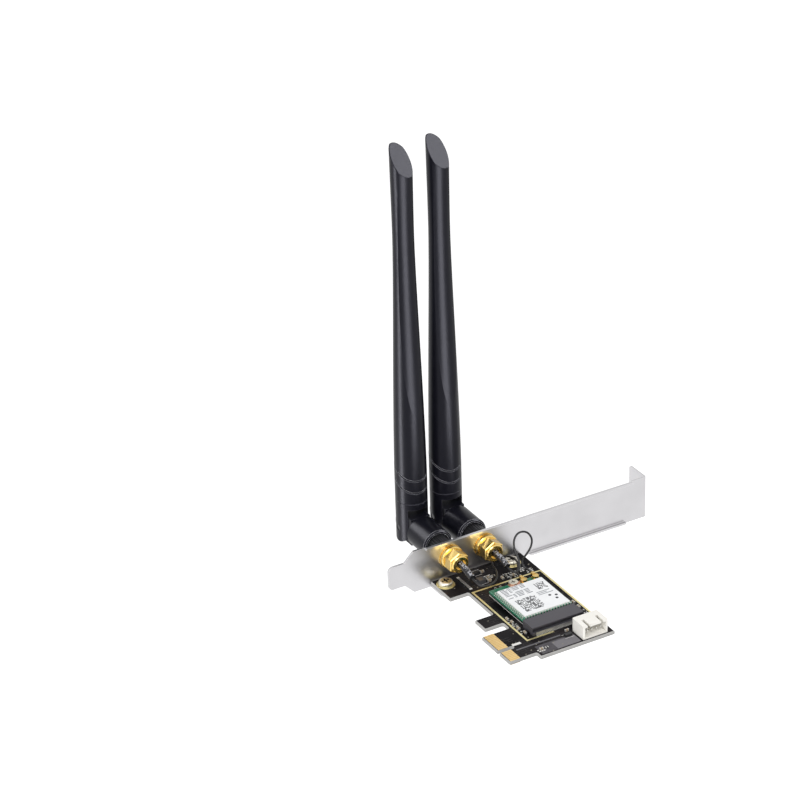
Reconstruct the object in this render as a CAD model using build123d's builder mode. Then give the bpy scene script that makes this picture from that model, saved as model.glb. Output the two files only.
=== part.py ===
from build123d import *
import os
from math import cos, radians, sin, tan

os.makedirs("parts", exist_ok=True)

# All sizes are in millimetres. The origin is the middle of the key notch, on the contact edge,
# at the height of the board's component face. X runs away from the contact edge, Y towards the
# slot bracket and the antennas, Z up from the component face.

# Slot bracket
BRACKET_LENGTH = 120.02
BRACKET_WIDTH = 18.42
BRACKET_SHEET = 0.86
BRACKET_FACE = 57.15
TONGUE_DROP = 14.83
TONGUE_LENGTH = 7.15
TONGUE_WIDTH = 10.19
TONGUE_CORNER = 2.0
SHOULDER_ROUND = 1.2
TAB_DEPTH = 11.43
TAB_CORNER = 1.0
TAB_NOTCH_RADIUS = 2.21
TAB_NOTCH_OUT = 6.35
TAB_NOTCH_RISE = 4.0
BEND_INSIDE = 0.3
FOLD_LEG = 2.0
FLANGE_REACH = 1.2
UPPER_FLANGE_START = 1.7
UPPER_FLANGE_END = 98.0
LOWER_FLANGE_START = 49.2
LOWER_FLANGE_END = 94.7
EAR_WIDTH = 7.6
EAR_REACH = 9.5
EAR_CORNER = 1.5

# Bracket screws
SCREW_SETBACK = 5.15
SCREW_FIRST = 7.6
SCREW_PITCH = 30.3
SCREW_RADIUS = 1.5
SCREW_HEAD_RADIUS = 2.9
SCREW_HEAD_HEIGHT = 1.9
SCREW_HEAD_ROUND = 0.9
SCREW_BELOW = 1.2
RECESS_WIDTH = 0.8
RECESS_LENGTH = 3.2
RECESS_DEPTH = 1.0
SCREW_PAD_RADIUS = 3.7

# Main board
BOARD_THICKNESS = 1.6
BOARD_MARGIN = 0.3
BOARD_EDGE = 11.9
BOARD_FAR = -11.2
BOARD_GAP = 0.1
BOARD_CORNER = 0.5
WING_EDGE = 3.6
WING_DEPTH = 15.25
HOOK_EDGE = 3.85
HOOK_NEAR = 23.7
HOOK_FAR = 16.05
SLOT_END = 11.6
HOLE_ROOM = 0.15

# Edge contacts
KEY_WIDTH = 1.9
KEY_DEPTH = 6.9
CONTACT_PITCH = 1.0
CONTACT_WIDTH = 0.76
CONTACT_LENGTH = 4.3
CONTACT_INSET = 0.6
CONTACT_THICKNESS = 0.05
CONTACTS_NEAR = 11
CONTACTS_FAR = 7
KEY_TO_CONTACT = 1.5
EDGE_MARGIN = 0.65
EDGE_BEVEL = 0.4
FOIL = 0.05

# Plated ground line around the radio module
FRAME_LEFT_ROOM = 4.22
FRAME_RIGHT_ROOM = 5.58
FRAME_NEAR_ROOM = 6.45
FRAME_FAR_ROOM = 0.05
FRAME_LINE = 0.8
FRAME_OPEN = 18.7

# Radio module
MODULE_LEFT = 17.22
MODULE_WIDTH = 22.0
MODULE_LENGTH = 30.0
MODULE_NEAR = 35.05
MODULE_THICKNESS = 0.8
MODULE_RISE = 1.86
MODULE_NOTCH_RADIUS = 1.75
MODULE_PAD_RADIUS = 2.75
SHIELD_SIDE = 1.1
SHIELD_NEAR = 3.3
SHIELD_LENGTH = 21.1
SHIELD_RIGHT = 0.15
SHIELD_HEIGHT = 1.1
SHIELD_ROUND = 0.25
LABEL_THICKNESS = 0.08
LABEL_CORNER = 0.4
MODULE_SCREW_HEAD = 1.9
MODULE_SCREW_HEIGHT = 0.6
MODULE_SCREW_RADIUS = 0.95
STANDOFF_RADIUS = 2.0
THREAD_ROOM = 0.05

# Module socket
SOCKET_SIDE = 0.45
SOCKET_NEAR = 9.55
SOCKET_FAR = 1.95
SOCKET_HEIGHT = 3.6
SOCKET_STEP_HEIGHT = 1.7
SOCKET_STEP_DEPTH = 0.6
SOCKET_ROOM = 0.1
SOCKET_ROUND = 0.3
TAIL_COUNT = 34
TAIL_PITCH = 0.6
TAIL_WIDTH = 0.25
TAIL_LENGTH = 0.55
TAIL_HEIGHT = 0.2

# Cable header
HEADER_SIDE = 2.7
HEADER_WIDTH = 11.0
HEADER_DEPTH = 7.9
HEADER_MARGIN = 0.9
HEADER_HEIGHT = 5.8
HEADER_WALL = 0.8
HEADER_BACK = 1.8
HEADER_SLOT_WIDTH = 1.1
HEADER_SLOT_LENGTH = 4.6
HEADER_SLOT_PITCH = 6.0
HEADER_ROUND = 0.35
HEADER_PINS = 4
HEADER_PIN_PITCH = 2.0
HEADER_PIN = 0.5
HEADER_PIN_LENGTH = 5.0

# Antenna jacks
JACK_FIRST = 12.7
JACK_PITCH = 15.8
JACK_BELOW_EDGE = 6.96
JACK_THREAD_RADIUS = 3.175
JACK_HOLE_ROOM = 0.1
JACK_HEX = 8.0
JACK_HEX_LENGTH = 4.9
JACK_HEX_TURN = 30.0
JACK_HEX_CHAMFER = 0.3
JACK_BARREL = 9.5
JACK_REAR_RADIUS = 3.7
JACK_REAR_LENGTH = 1.0
JACK_REAR_CONE = 0.4
JACK_RECESS_RADIUS = 2.2
JACK_RECESS_DEPTH = 1.0
WASHER_RADIUS = 5.05
WASHER_THICKNESS = 0.7
WASHER_TEETH = 18
WASHER_TOOTH = 0.5
INNER_NUT_RADIUS = 4.8
INNER_NUT_LENGTH = 1.9
INNER_NUT_CHAMFER = 0.35
PANEL_NUT_LENGTH = 2.0

# Sleeves and coaxial leads
SLEEVE_RADIUS = 1.35
SLEEVE_STRAIGHT = 4.0
SLEEVE_REACH = 9.7
SLEEVE_DROP = 1.5
SLEEVE_BEND = 12.0
LEAD_DIAMETER = 0.81
CORNER_SHARE = 0.45

# Miniature coaxial connectors on the module
RECEPTACLE_MARGIN = 1.72
RECEPTACLE_INNER = 3.98
RECEPTACLE_SETBACK = 1.4
RECEPTACLE_SIZE = 2.6
RECEPTACLE_BASE = 0.35
RECEPTACLE_POST = 0.85
RECEPTACLE_POST_HEIGHT = 0.75
MINI_PLUG_RADIUS = 1.3
MINI_PLUG_HEIGHT = 1.0
MINI_PLUG_WALL = 0.3
MINI_PLUG_ARM = 1.2
MINI_PLUG_REACH = 2.6
MINI_PLUG_RISE = 0.37

# Coupling nut and antenna plug
NUT_RADIUS = 4.8
NUT_LENGTH = 9.0
NUT_GAP = 0.4
NUT_BACK = 1.0
NUT_RIDGES = 28
NUT_GROOVE = 0.45
NUT_GROOVE_TURN = 45.0
NUT_BORE_ROOM = 0.05
PLUG_NECK_RADIUS = 2.5
PLUG_FLANGE_RADIUS = 3.0
PLUG_FLANGE = 0.6
PLUG_NECK_LENGTH = 3.6
PLUG_RUN = 0.05
PLUG_END_GAP = 0.15
PLUG_SEAT = 0.02

# Swivel base
HINGE_REACH = 28.64
BASE_RADIUS = 6.5
BASE_START = 8.1
BASE_SHOULDER = 6.85
BASE_CHAMFER = 0.6
SKIRT_ROOM = 0.35
SKIRT_FLOOR = 0.4
KNUCKLE_RADIUS = 5.8
KNUCKLE_ROOM = 0.15
PIN_RADIUS = 1.3
PIN_RUN = 0.05
PIN_SEAT = 0.01
PIN_INSET = 0.15

# Antenna blade, heights above the hinge pin
BLADE_RADIUS = 6.5
EAR_ROUND = 6.0
FORK_SLOT = 9.0
FORK_CROTCH = 9.3
FORK_SEAM = 11.8
FORK_TOP = 20.9
BAND_TOP = 26.3
RING_SLOPE = 32.0
SEAM_WIDTH = 0.3
SEAM_DEPTH = 0.2
RIM_CHAMFER = 0.35
WAIST_HEIGHT = 127.0
WAIST_RADIUS = 4.2
TIP_HEIGHT = 166.0
TIP_RADIUS = 4.45
SCOOP_START = 42.0
SCOOP_HALF = 3.3
SCOOP_TIP_HALF = 4.05
SCOOP_EASE = 0.9
SCOOP_SHARE = 0.21
CROWN_SHIFT = 3.0
TAPER_EASE = 0.25
TAPER_SHARE = 0.35
WAIST_SHARE = 0.19
TIP_MIDDLE = 157.7
TIP_ROUND = 0.25
TIP_SLOPE = 58.0
TIP_TURN = 17.5

# Small parts on the board
CHIP_LENGTH = 1.6
CHIP_WIDTH = 0.8
CHIP_HEIGHT = 0.8
RESISTOR_LENGTH = 1.3
RESISTOR_HEIGHT = 0.45
REGULATOR_LENGTH = 2.9
REGULATOR_WIDTH = 1.6
REGULATOR_HEIGHT = 1.1
INDUCTOR_SIZE = 3.0
INDUCTOR_HEIGHT = 1.5
INDUCTOR_ROUND = 0.3

# Places that follow from the sizes above
LOWER_EDGE = -BOARD_THICKNESS - BRACKET_SHEET
UPPER_EDGE = LOWER_EDGE + BRACKET_WIDTH
MIDDLE_HEIGHT = (LOWER_EDGE + UPPER_EDGE) / 2
TONGUE_END = -TONGUE_DROP
TAB_FACE = TONGUE_END + BRACKET_LENGTH
BRACKET_BACK = BRACKET_FACE + BRACKET_SHEET
SCREW_Y = BRACKET_FACE - SCREW_SETBACK
SCREWS = [(SCREW_FIRST, SCREW_Y), (SCREW_FIRST + SCREW_PITCH, SCREW_Y)]
BOARD_NEAR = BRACKET_FACE - BOARD_GAP
WING_FRONT = BRACKET_FACE - WING_DEPTH
NEAR_REACH = KEY_TO_CONTACT + (CONTACTS_NEAR - 1) * CONTACT_PITCH
FAR_REACH = KEY_TO_CONTACT + (CONTACTS_FAR - 1) * CONTACT_PITCH
FINGER_NEAR = NEAR_REACH + EDGE_MARGIN
FINGER_FAR = -FAR_REACH - EDGE_MARGIN
MODULE_MIDDLE = MODULE_LEFT + MODULE_WIDTH / 2
MODULE_RIGHT = MODULE_LEFT + MODULE_WIDTH
MODULE_FAR = MODULE_NEAR - MODULE_LENGTH
MODULE_TOP = MODULE_RISE + MODULE_THICKNESS
SOCKET_WIDTH = MODULE_WIDTH + 2 * SOCKET_SIDE
SOCKET_LEFT = MODULE_LEFT - SOCKET_SIDE
SOCKET_RIGHT = MODULE_RIGHT + SOCKET_SIDE
FRAME_LEFT = MODULE_LEFT - FRAME_LEFT_ROOM
FRAME_RIGHT = MODULE_RIGHT + FRAME_RIGHT_ROOM
FRAME_NEAR = MODULE_NEAR + FRAME_NEAR_ROOM
FRAME_FAR = SOCKET_FAR - TAIL_LENGTH - FRAME_LINE - FRAME_FAR_ROOM
FRAME_BREAK = FRAME_RIGHT - FRAME_LINE - FRAME_OPEN
BOARD_RIGHT = FRAME_RIGHT + BOARD_MARGIN
HEADER_RIGHT = BOARD_RIGHT - HEADER_SIDE
HEADER_LEFT = HEADER_RIGHT - HEADER_WIDTH
HEADER_FRONT = BOARD_FAR + HEADER_MARGIN
HINGE_Y = BRACKET_BACK + HINGE_REACH
JACK_HEIGHT = UPPER_EDGE - JACK_BELOW_EDGE
JACKS = {"left": JACK_FIRST, "right": JACK_FIRST + JACK_PITCH}
INNER_NUT_START = BRACKET_FACE - WASHER_THICKNESS
HEX_START = INNER_NUT_START - INNER_NUT_LENGTH
REAR_START = HEX_START - JACK_HEX_LENGTH
JACK_END = REAR_START - JACK_REAR_LENGTH
SLEEVE_START = JACK_END + JACK_RECESS_DEPTH
SLEEVE_END = SLEEVE_START - SLEEVE_REACH
SLEEVE_END_HEIGHT = JACK_HEIGHT - SLEEVE_DROP
NUT_START = BRACKET_BACK + PANEL_NUT_LENGTH + NUT_GAP
NUT_END = NUT_START + NUT_LENGTH
NUT_FLOOR = NUT_END - NUT_BACK
PLUG_START = NUT_FLOOR - PLUG_END_GAP - PLUG_FLANGE
BARREL_END = BRACKET_BACK + JACK_BARREL
BASE_FRONT = BRACKET_BACK + BASE_START
BASE_BACK = HINGE_Y - BASE_SHOULDER
SKIRT_END = NUT_END + SKIRT_FLOOR
RECEPTACLE_Y = MODULE_NEAR - RECEPTACLE_SETBACK
RECEPTACLES = {"left": MODULE_MIDDLE + RECEPTACLE_INNER, "right": MODULE_RIGHT - RECEPTACLE_MARGIN}
PLUG_ARM_END = RECEPTACLE_Y + MINI_PLUG_REACH
PLUG_ARM_HEIGHT = MODULE_TOP + MINI_PLUG_RISE + MINI_PLUG_ARM / 2
RING_RISE = BLADE_RADIUS * tan(radians(RING_SLOPE))

# Middle points of the two leads, from the sleeve to the miniature plug
LEAD_POINTS = {
    "left": [
        (12.7, 35.6, 6.36),
        (16.0, 33.6, 6.1),
        (20.4, 35.5, 5.7),
        (23.9, 39.6, 5.2),
        (26.3, 44.8, 4.4),
        (27.5, 50.0, 3.5),
        (30.1, 53.6, 3.2),
        (34.6, 53.5, 3.5),
        (36.9, 49.6, 4.3),
        (36.2, 44.3, 4.7),
        (33.9, 40.9, 4.2),
        (32.2, 38.9, 3.63),
    ],
    "right": [
        (28.5, 36.95, 6.71),
        (30.1, 34.8, 7.2),
        (31.4, 34.9, 9.4),
        (31.7, 36.9, 12.2),
        (31.4, 39.4, 14.9),
        (32.2, 41.0, 18.1),
        (35.0, 42.0, 20.1),
        (38.9, 42.0, 19.2),
        (41.0, 41.4, 15.8),
        (40.3, 41.0, 12.4),
        (38.3, 41.2, 9.5),
        (36.3, 42.1, 6.7),
        (36.4, 41.0, 4.4),
        (37.5, 38.9, 3.63),
    ],
}

# Small parts: each place is counted from the corner of its own group, with a turn
BRACKET_GROUP = (FRAME_LEFT, FRAME_NEAR)
MODULE_GROUP = (MODULE_MIDDLE, MODULE_NEAR)
LEFT_GROUP = (SOCKET_LEFT, SOCKET_FAR)
RIGHT_GROUP = (SOCKET_RIGHT, SOCKET_FAR)
FRONT_GROUP = (BOARD_EDGE, BOARD_FAR)
HEADER_GROUP = (HEADER_LEFT, HEADER_FRONT)
CAPACITOR_PLACES = [
    (BRACKET_GROUP, 11.3, 10.7, 0), (BRACKET_GROUP, 11.1, 5.6, 90), (BRACKET_GROUP, 10.4, 3.5, 0),
    (BRACKET_GROUP, 15.6, 2.4, 90), (BRACKET_GROUP, 20.3, 2.1, 0),
    (MODULE_GROUP, 3.6, 3.5, 90),
    (LEFT_GROUP, -2.2, 15.4, 90), (LEFT_GROUP, -1.8, 12.6, 90), (LEFT_GROUP, -2.0, 7.6, 90),
    (LEFT_GROUP, -1.4, 3.8, 90),
    (RIGHT_GROUP, 2.9, 12.2, 90), (RIGHT_GROUP, 2.8, 8.4, 90),
    (FRONT_GROUP, 2.7, 4.0, 0), (HEADER_GROUP, -1.8, 8.9, 0),
]
RESISTOR_PLACES = [
    (BRACKET_GROUP, 13.5, 5.7, 0), (BRACKET_GROUP, 17.6, 4.1, 0), (BRACKET_GROUP, 17.8, 2.2, 90),
    (MODULE_GROUP, -3.6, 3.5, 90), (MODULE_GROUP, -5.8, 3.5, 90),
    (LEFT_GROUP, -1.4, 10.0, 90), (LEFT_GROUP, -2.6, 10.0, 90),
    (RIGHT_GROUP, 2.7, 5.4, 0), (RIGHT_GROUP, 2.7, 3.2, 0), (FRONT_GROUP, 5.1, 4.0, 0),
]
CHIP_PLACES = [(BRACKET_GROUP, 8.6, 10.8, 0), (HEADER_GROUP, -3.2, 5.9, 0)]
INDUCTOR_PLACES = [(BRACKET_GROUP, 7.4, 4.8, 0)]


def places(group):
    """Locations on the board's face for a group of small parts."""
    spots = []
    for (corner_x, corner_y), step_x, step_y, turn in group:
        spots.append(Location((corner_x + step_x, corner_y + step_y, 0), (0, 0, turn)))
    return spots


def across(y):
    """Sketch plane that looks at the bracket from the board: X to the right, Z up."""
    return Plane.XZ.offset(-y)


def ring_plane(x, height):
    """Slanted plane across an antenna, at a height above its hinge pin, low on the board's side."""
    slope = radians(RING_SLOPE)
    return Plane((x, HINGE_Y, JACK_HEIGHT + height), x_dir=(1, 0, 0), z_dir=(0, -sin(slope), cos(slope)))


def save(piece, label):
    """Name a finished piece and write it to its own file."""
    piece.part.label = label
    export_step(piece.part, f"parts/{label}.step")


# Slot bracket: flat plate with tongue, folded edges, folded ears and folded tab
FOLDS = [
    (UPPER_FLANGE_START, UPPER_FLANGE_END, UPPER_EDGE, -1, FLANGE_REACH),
    (LOWER_FLANGE_START, LOWER_FLANGE_END, LOWER_EDGE, 1, FLANGE_REACH),
]
for ear_x, ear_y in SCREWS:
    FOLDS.append((ear_x - EAR_WIDTH / 2, ear_x + EAR_WIDTH / 2, LOWER_EDGE, 1, EAR_REACH))

with BuildPart() as bracket:
    tongue_low = MIDDLE_HEIGHT - TONGUE_WIDTH / 2
    tongue_high = MIDDLE_HEIGHT + TONGUE_WIDTH / 2
    shoulder_start = TONGUE_END + TONGUE_LENGTH
    shoulder_end = shoulder_start + (BRACKET_WIDTH - TONGUE_WIDTH) / 2
    with BuildSketch(across(BRACKET_FACE)) as plate_outline:
        with BuildLine():
            Polyline(
                (TONGUE_END, tongue_low),
                (shoulder_start, tongue_low),
                (shoulder_end, LOWER_EDGE),
                (TAB_FACE - FOLD_LEG, LOWER_EDGE),
                (TAB_FACE - FOLD_LEG, UPPER_EDGE),
                (shoulder_end, UPPER_EDGE),
                (shoulder_start, tongue_high),
                (TONGUE_END, tongue_high),
                close=True,
            )
        make_face()
        tongue_corners = plate_outline.vertices().group_by(Axis.X)
        fillet(tongue_corners[0], radius=TONGUE_CORNER)
        shoulder_corners = plate_outline.vertices().filter_by(
            lambda corner: abs(corner.X - shoulder_start) < TONGUE_CORNER / 2
        )
        fillet(shoulder_corners, radius=SHOULDER_ROUND)
    extrude(amount=-BRACKET_SHEET)
    with BuildSketch(Plane.XY.offset(LOWER_EDGE)) as tab_profile:
        with BuildLine():
            Polyline(
                (TAB_FACE - FOLD_LEG, BRACKET_FACE),
                (TAB_FACE, BRACKET_FACE),
                (TAB_FACE, BRACKET_FACE + TAB_DEPTH),
                (TAB_FACE - BRACKET_SHEET, BRACKET_FACE + TAB_DEPTH),
                (TAB_FACE - BRACKET_SHEET, BRACKET_BACK),
                (TAB_FACE - FOLD_LEG, BRACKET_BACK),
                close=True,
            )
        make_face()
        tab_outer = tab_profile.vertices().sort_by_distance((TAB_FACE, BRACKET_FACE))[0]
        fillet(tab_outer, radius=BRACKET_SHEET + BEND_INSIDE)
        tab_inside = (TAB_FACE - BRACKET_SHEET, BRACKET_BACK)
        tab_inner = tab_profile.vertices().sort_by_distance(tab_inside)[0]
        fillet(tab_inner, radius=BEND_INSIDE)
    extrude(amount=BRACKET_WIDTH)
    tab_corners = bracket.edges().filter_by(Axis.X).group_by(Axis.Y)[-1]
    fillet(tab_corners, radius=TAB_CORNER)
    with BuildSketch(Plane.YZ.offset(TAB_FACE)):
        with Locations((BRACKET_FACE + TAB_NOTCH_OUT, LOWER_EDGE)):
            Rectangle(2 * TAB_NOTCH_RADIUS, TAB_NOTCH_RISE, align=(Align.CENTER, Align.MIN))
        with Locations((BRACKET_FACE + TAB_NOTCH_OUT, LOWER_EDGE + TAB_NOTCH_RISE)):
            Circle(TAB_NOTCH_RADIUS)
    extrude(amount=-BRACKET_SHEET, mode=Mode.SUBTRACT)
    for fold_start, fold_end, fold_edge, inward, reach in FOLDS:
        with BuildSketch(Plane.YZ.offset(fold_start)):
            with Locations((BRACKET_FACE, fold_edge)):
                Rectangle(
                    BRACKET_SHEET,
                    FOLD_LEG,
                    align=(Align.MIN, Align.MIN if inward > 0 else Align.MAX),
                )
        extrude(amount=fold_end - fold_start, mode=Mode.SUBTRACT)
        with BuildSketch(Plane.YZ.offset(fold_start)) as fold_profile:
            with BuildLine():
                Polyline(
                    (BRACKET_FACE - reach, fold_edge),
                    (BRACKET_BACK, fold_edge),
                    (BRACKET_BACK, fold_edge + inward * FOLD_LEG),
                    (BRACKET_FACE, fold_edge + inward * FOLD_LEG),
                    (BRACKET_FACE, fold_edge + inward * BRACKET_SHEET),
                    (BRACKET_FACE - reach, fold_edge + inward * BRACKET_SHEET),
                    close=True,
                )
            make_face()
            fold_outer = fold_profile.vertices().sort_by_distance((BRACKET_BACK, fold_edge))[0]
            fillet(fold_outer, radius=BRACKET_SHEET + BEND_INSIDE)
            fold_inside = (BRACKET_FACE, fold_edge + inward * BRACKET_SHEET)
            fold_inner = fold_profile.vertices().sort_by_distance(fold_inside)[0]
            fillet(fold_inner, radius=BEND_INSIDE)
        extrude(amount=fold_end - fold_start)
    ear_corners = bracket.edges().filter_by(Axis.Z).group_by(Axis.Y)[0]
    fillet(ear_corners, radius=EAR_CORNER)
    with BuildSketch(Plane.XY.offset(-BOARD_THICKNESS)):
        with Locations(*SCREWS):
            Circle(SCREW_RADIUS + THREAD_ROOM)
    extrude(amount=-BRACKET_SHEET, mode=Mode.SUBTRACT)
    with BuildSketch(across(BRACKET_FACE)):
        for jack_x in JACKS.values():
            with Locations((jack_x, JACK_HEIGHT)):
                Circle(JACK_THREAD_RADIUS + JACK_HOLE_ROOM)
    extrude(amount=-BRACKET_SHEET, mode=Mode.SUBTRACT)
save(bracket, "bracket")

# Plated lands under the bracket screws
with BuildPart() as screw_lands:
    with BuildSketch(Plane.XY):
        with Locations(*SCREWS):
            Circle(SCREW_PAD_RADIUS)
            Circle(SCREW_RADIUS + HOLE_ROOM, mode=Mode.SUBTRACT)
    extrude(amount=FOIL)
save(screw_lands, "screw_lands")

# Pan-head screws that hold the board on the bracket's ears
with BuildPart() as bracket_screws:
    with BuildSketch(Plane.XY.offset(FOIL)):
        with Locations(*SCREWS):
            Circle(SCREW_HEAD_RADIUS)
    extrude(amount=SCREW_HEAD_HEIGHT)
    fillet(bracket_screws.edges().group_by(Axis.Z)[-1], radius=SCREW_HEAD_ROUND)
    with BuildSketch(Plane.XY.offset(FOIL)):
        with Locations(*SCREWS):
            Circle(SCREW_RADIUS)
    extrude(amount=-FOIL - BOARD_THICKNESS - BRACKET_SHEET - SCREW_BELOW)
    with BuildSketch(Plane.XY.offset(FOIL + SCREW_HEAD_HEIGHT)):
        with Locations(*SCREWS):
            Rectangle(RECESS_LENGTH, RECESS_WIDTH)
            Rectangle(RECESS_WIDTH, RECESS_LENGTH)
    extrude(amount=-RECESS_DEPTH, mode=Mode.SUBTRACT)
save(bracket_screws, "bracket_screws")

# Main board with the hooked contact edge
with BuildPart() as main_board:
    with BuildSketch(Plane.XY) as board_outline:
        with Locations((BOARD_EDGE, BOARD_FAR)):
            Rectangle(BOARD_RIGHT - BOARD_EDGE, BOARD_NEAR - BOARD_FAR, align=(Align.MIN, Align.MIN))
        with Locations((WING_EDGE, WING_FRONT)):
            Rectangle(BOARD_EDGE - WING_EDGE, BOARD_NEAR - WING_FRONT, align=(Align.MIN, Align.MIN))
        with Locations((HOOK_EDGE, HOOK_FAR)):
            Rectangle(BOARD_EDGE - HOOK_EDGE, HOOK_NEAR - HOOK_FAR, align=(Align.MIN, Align.MIN))
        with Locations((0, FINGER_FAR)):
            Rectangle(BOARD_EDGE, FINGER_NEAR - FINGER_FAR, align=(Align.MIN, Align.MIN))
        fillet(board_outline.vertices(), radius=BOARD_CORNER)
        slot_radius = (HOOK_FAR - FINGER_NEAR) / 2
        slot_middle = (HOOK_FAR + FINGER_NEAR) / 2
        with Locations((SLOT_END, slot_middle)):
            SlotOverall(2 * SLOT_END, 2 * slot_radius, align=(Align.MAX, Align.CENTER), mode=Mode.SUBTRACT)
        with Locations((KEY_DEPTH, 0)):
            SlotOverall(2 * KEY_DEPTH, KEY_WIDTH, align=(Align.MAX, Align.CENTER), mode=Mode.SUBTRACT)
    extrude(amount=-BOARD_THICKNESS)
    chamfer(main_board.edges().filter_by(Axis.Y).group_by(Axis.X)[0], length=EDGE_BEVEL)
    with BuildSketch(Plane.XY):
        with Locations(*SCREWS):
            Circle(SCREW_RADIUS + HOLE_ROOM)
    extrude(amount=-BOARD_THICKNESS, mode=Mode.SUBTRACT)
save(main_board, "main_board")

# Gold edge contacts on both faces, on each side of the key notch
CONTACT_ROWS = [KEY_TO_CONTACT + count * CONTACT_PITCH for count in range(CONTACTS_NEAR)]
CONTACT_ROWS += [-KEY_TO_CONTACT - count * CONTACT_PITCH for count in range(CONTACTS_FAR)]
with BuildPart() as edge_contacts:
    for face_height, outward in ((0, 1), (-BOARD_THICKNESS, -1)):
        with BuildSketch(Plane.XY.offset(face_height)):
            with Locations(*[(CONTACT_INSET, row) for row in CONTACT_ROWS]):
                Rectangle(CONTACT_LENGTH, CONTACT_WIDTH, align=(Align.MIN, Align.CENTER))
        extrude(amount=outward * CONTACT_THICKNESS)
save(edge_contacts, "edge_contacts")

# Plated ground line around the module, open towards the cable header
with BuildPart() as ground_frame:
    with BuildSketch(Plane.XY):
        with Locations((FRAME_LEFT, FRAME_FAR)):
            Rectangle(FRAME_RIGHT - FRAME_LEFT, FRAME_NEAR - FRAME_FAR, align=(Align.MIN, Align.MIN))
        with Locations((FRAME_LEFT + FRAME_LINE, FRAME_FAR + FRAME_LINE)):
            Rectangle(
                FRAME_RIGHT - FRAME_LEFT - 2 * FRAME_LINE,
                FRAME_NEAR - FRAME_FAR - 2 * FRAME_LINE,
                align=(Align.MIN, Align.MIN),
                mode=Mode.SUBTRACT,
            )
        with Locations((FRAME_BREAK, FRAME_FAR)):
            Rectangle(
                FRAME_RIGHT - FRAME_LINE - FRAME_BREAK,
                FRAME_LINE,
                align=(Align.MIN, Align.MIN),
                mode=Mode.SUBTRACT,
            )
    extrude(amount=FOIL)
save(ground_frame, "ground_frame")

# Socket that takes the module's edge, with a step for the solder tails
with BuildPart() as module_socket:
    with BuildSketch(Plane.YZ.offset(SOCKET_LEFT)) as socket_profile:
        with BuildLine():
            Polyline(
                (SOCKET_NEAR, 0),
                (SOCKET_NEAR, SOCKET_HEIGHT),
                (SOCKET_FAR + SOCKET_STEP_DEPTH, SOCKET_HEIGHT),
                (SOCKET_FAR + SOCKET_STEP_DEPTH, SOCKET_STEP_HEIGHT),
                (SOCKET_FAR, SOCKET_STEP_HEIGHT),
                (SOCKET_FAR, 0),
                close=True,
            )
        make_face()
        socket_top = socket_profile.vertices().group_by(Axis.Y)[-1]
        fillet(socket_top, radius=SOCKET_ROUND)
    extrude(amount=SOCKET_WIDTH)
    with BuildSketch(across(SOCKET_NEAR)):
        with Locations((MODULE_MIDDLE, MODULE_RISE + MODULE_THICKNESS / 2)):
            Rectangle(MODULE_WIDTH + 2 * SOCKET_ROOM, MODULE_THICKNESS + 2 * SOCKET_ROOM)
    extrude(amount=SOCKET_NEAR - MODULE_FAR + SOCKET_ROOM, mode=Mode.SUBTRACT)
save(module_socket, "module_socket")

# Solder tails in front of the socket
with BuildPart() as socket_tails:
    with BuildSketch(Plane.XY):
        with Locations((MODULE_MIDDLE, SOCKET_FAR - TAIL_LENGTH / 2)):
            with GridLocations(TAIL_PITCH, TAIL_LENGTH, TAIL_COUNT, 1):
                Rectangle(TAIL_WIDTH, TAIL_LENGTH)
    extrude(amount=TAIL_HEIGHT)
save(socket_tails, "socket_tails")

# Radio module board with the half-round screw notch in its bracket-side edge
with BuildPart() as module_board:
    with BuildSketch(Plane.XY.offset(MODULE_RISE)):
        with Locations((MODULE_LEFT, MODULE_FAR)):
            Rectangle(MODULE_WIDTH, MODULE_LENGTH, align=(Align.MIN, Align.MIN))
        with Locations((MODULE_MIDDLE, MODULE_NEAR)):
            Circle(MODULE_NOTCH_RADIUS, mode=Mode.SUBTRACT)
    extrude(amount=MODULE_THICKNESS)
save(module_board, "module_board")

# Copper land around the screw notch
with BuildPart() as module_land:
    with BuildSketch(Plane.XY.offset(MODULE_TOP)):
        with Locations((MODULE_MIDDLE, MODULE_NEAR)):
            Circle(MODULE_PAD_RADIUS)
            Circle(MODULE_NOTCH_RADIUS, mode=Mode.SUBTRACT)
            Rectangle(
                2 * MODULE_PAD_RADIUS,
                MODULE_PAD_RADIUS,
                align=(Align.CENTER, Align.MIN),
                mode=Mode.SUBTRACT,
            )
    extrude(amount=FOIL)
save(module_land, "module_land")

# Shield over the radio circuits, and the label on it
with BuildPart() as module_shield:
    shield_width = MODULE_WIDTH - SHIELD_SIDE - SHIELD_RIGHT
    with BuildSketch(Plane.XY.offset(MODULE_TOP)) as shield_outline:
        with Locations((MODULE_LEFT + SHIELD_SIDE, MODULE_NEAR - SHIELD_NEAR)):
            Rectangle(shield_width, SHIELD_LENGTH, align=(Align.MIN, Align.MAX))
        fillet(shield_outline.vertices(), radius=LABEL_CORNER)
    extrude(amount=SHIELD_HEIGHT)
    fillet(module_shield.faces().sort_by(Axis.Z)[-1].edges(), radius=SHIELD_ROUND)
save(module_shield, "module_shield")

with BuildPart() as module_label:
    with BuildSketch(Plane.XY.offset(MODULE_TOP + SHIELD_HEIGHT)) as label_outline:
        label_near = MODULE_NEAR - SHIELD_NEAR - SHIELD_ROUND
        with Locations((MODULE_LEFT + SHIELD_SIDE + SHIELD_ROUND, label_near)):
            Rectangle(
                shield_width - 2 * SHIELD_ROUND,
                SHIELD_LENGTH - 2 * SHIELD_ROUND,
                align=(Align.MIN, Align.MAX),
            )
        fillet(label_outline.vertices(), radius=LABEL_CORNER)
    extrude(amount=LABEL_THICKNESS)
save(module_label, "module_label")

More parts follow.
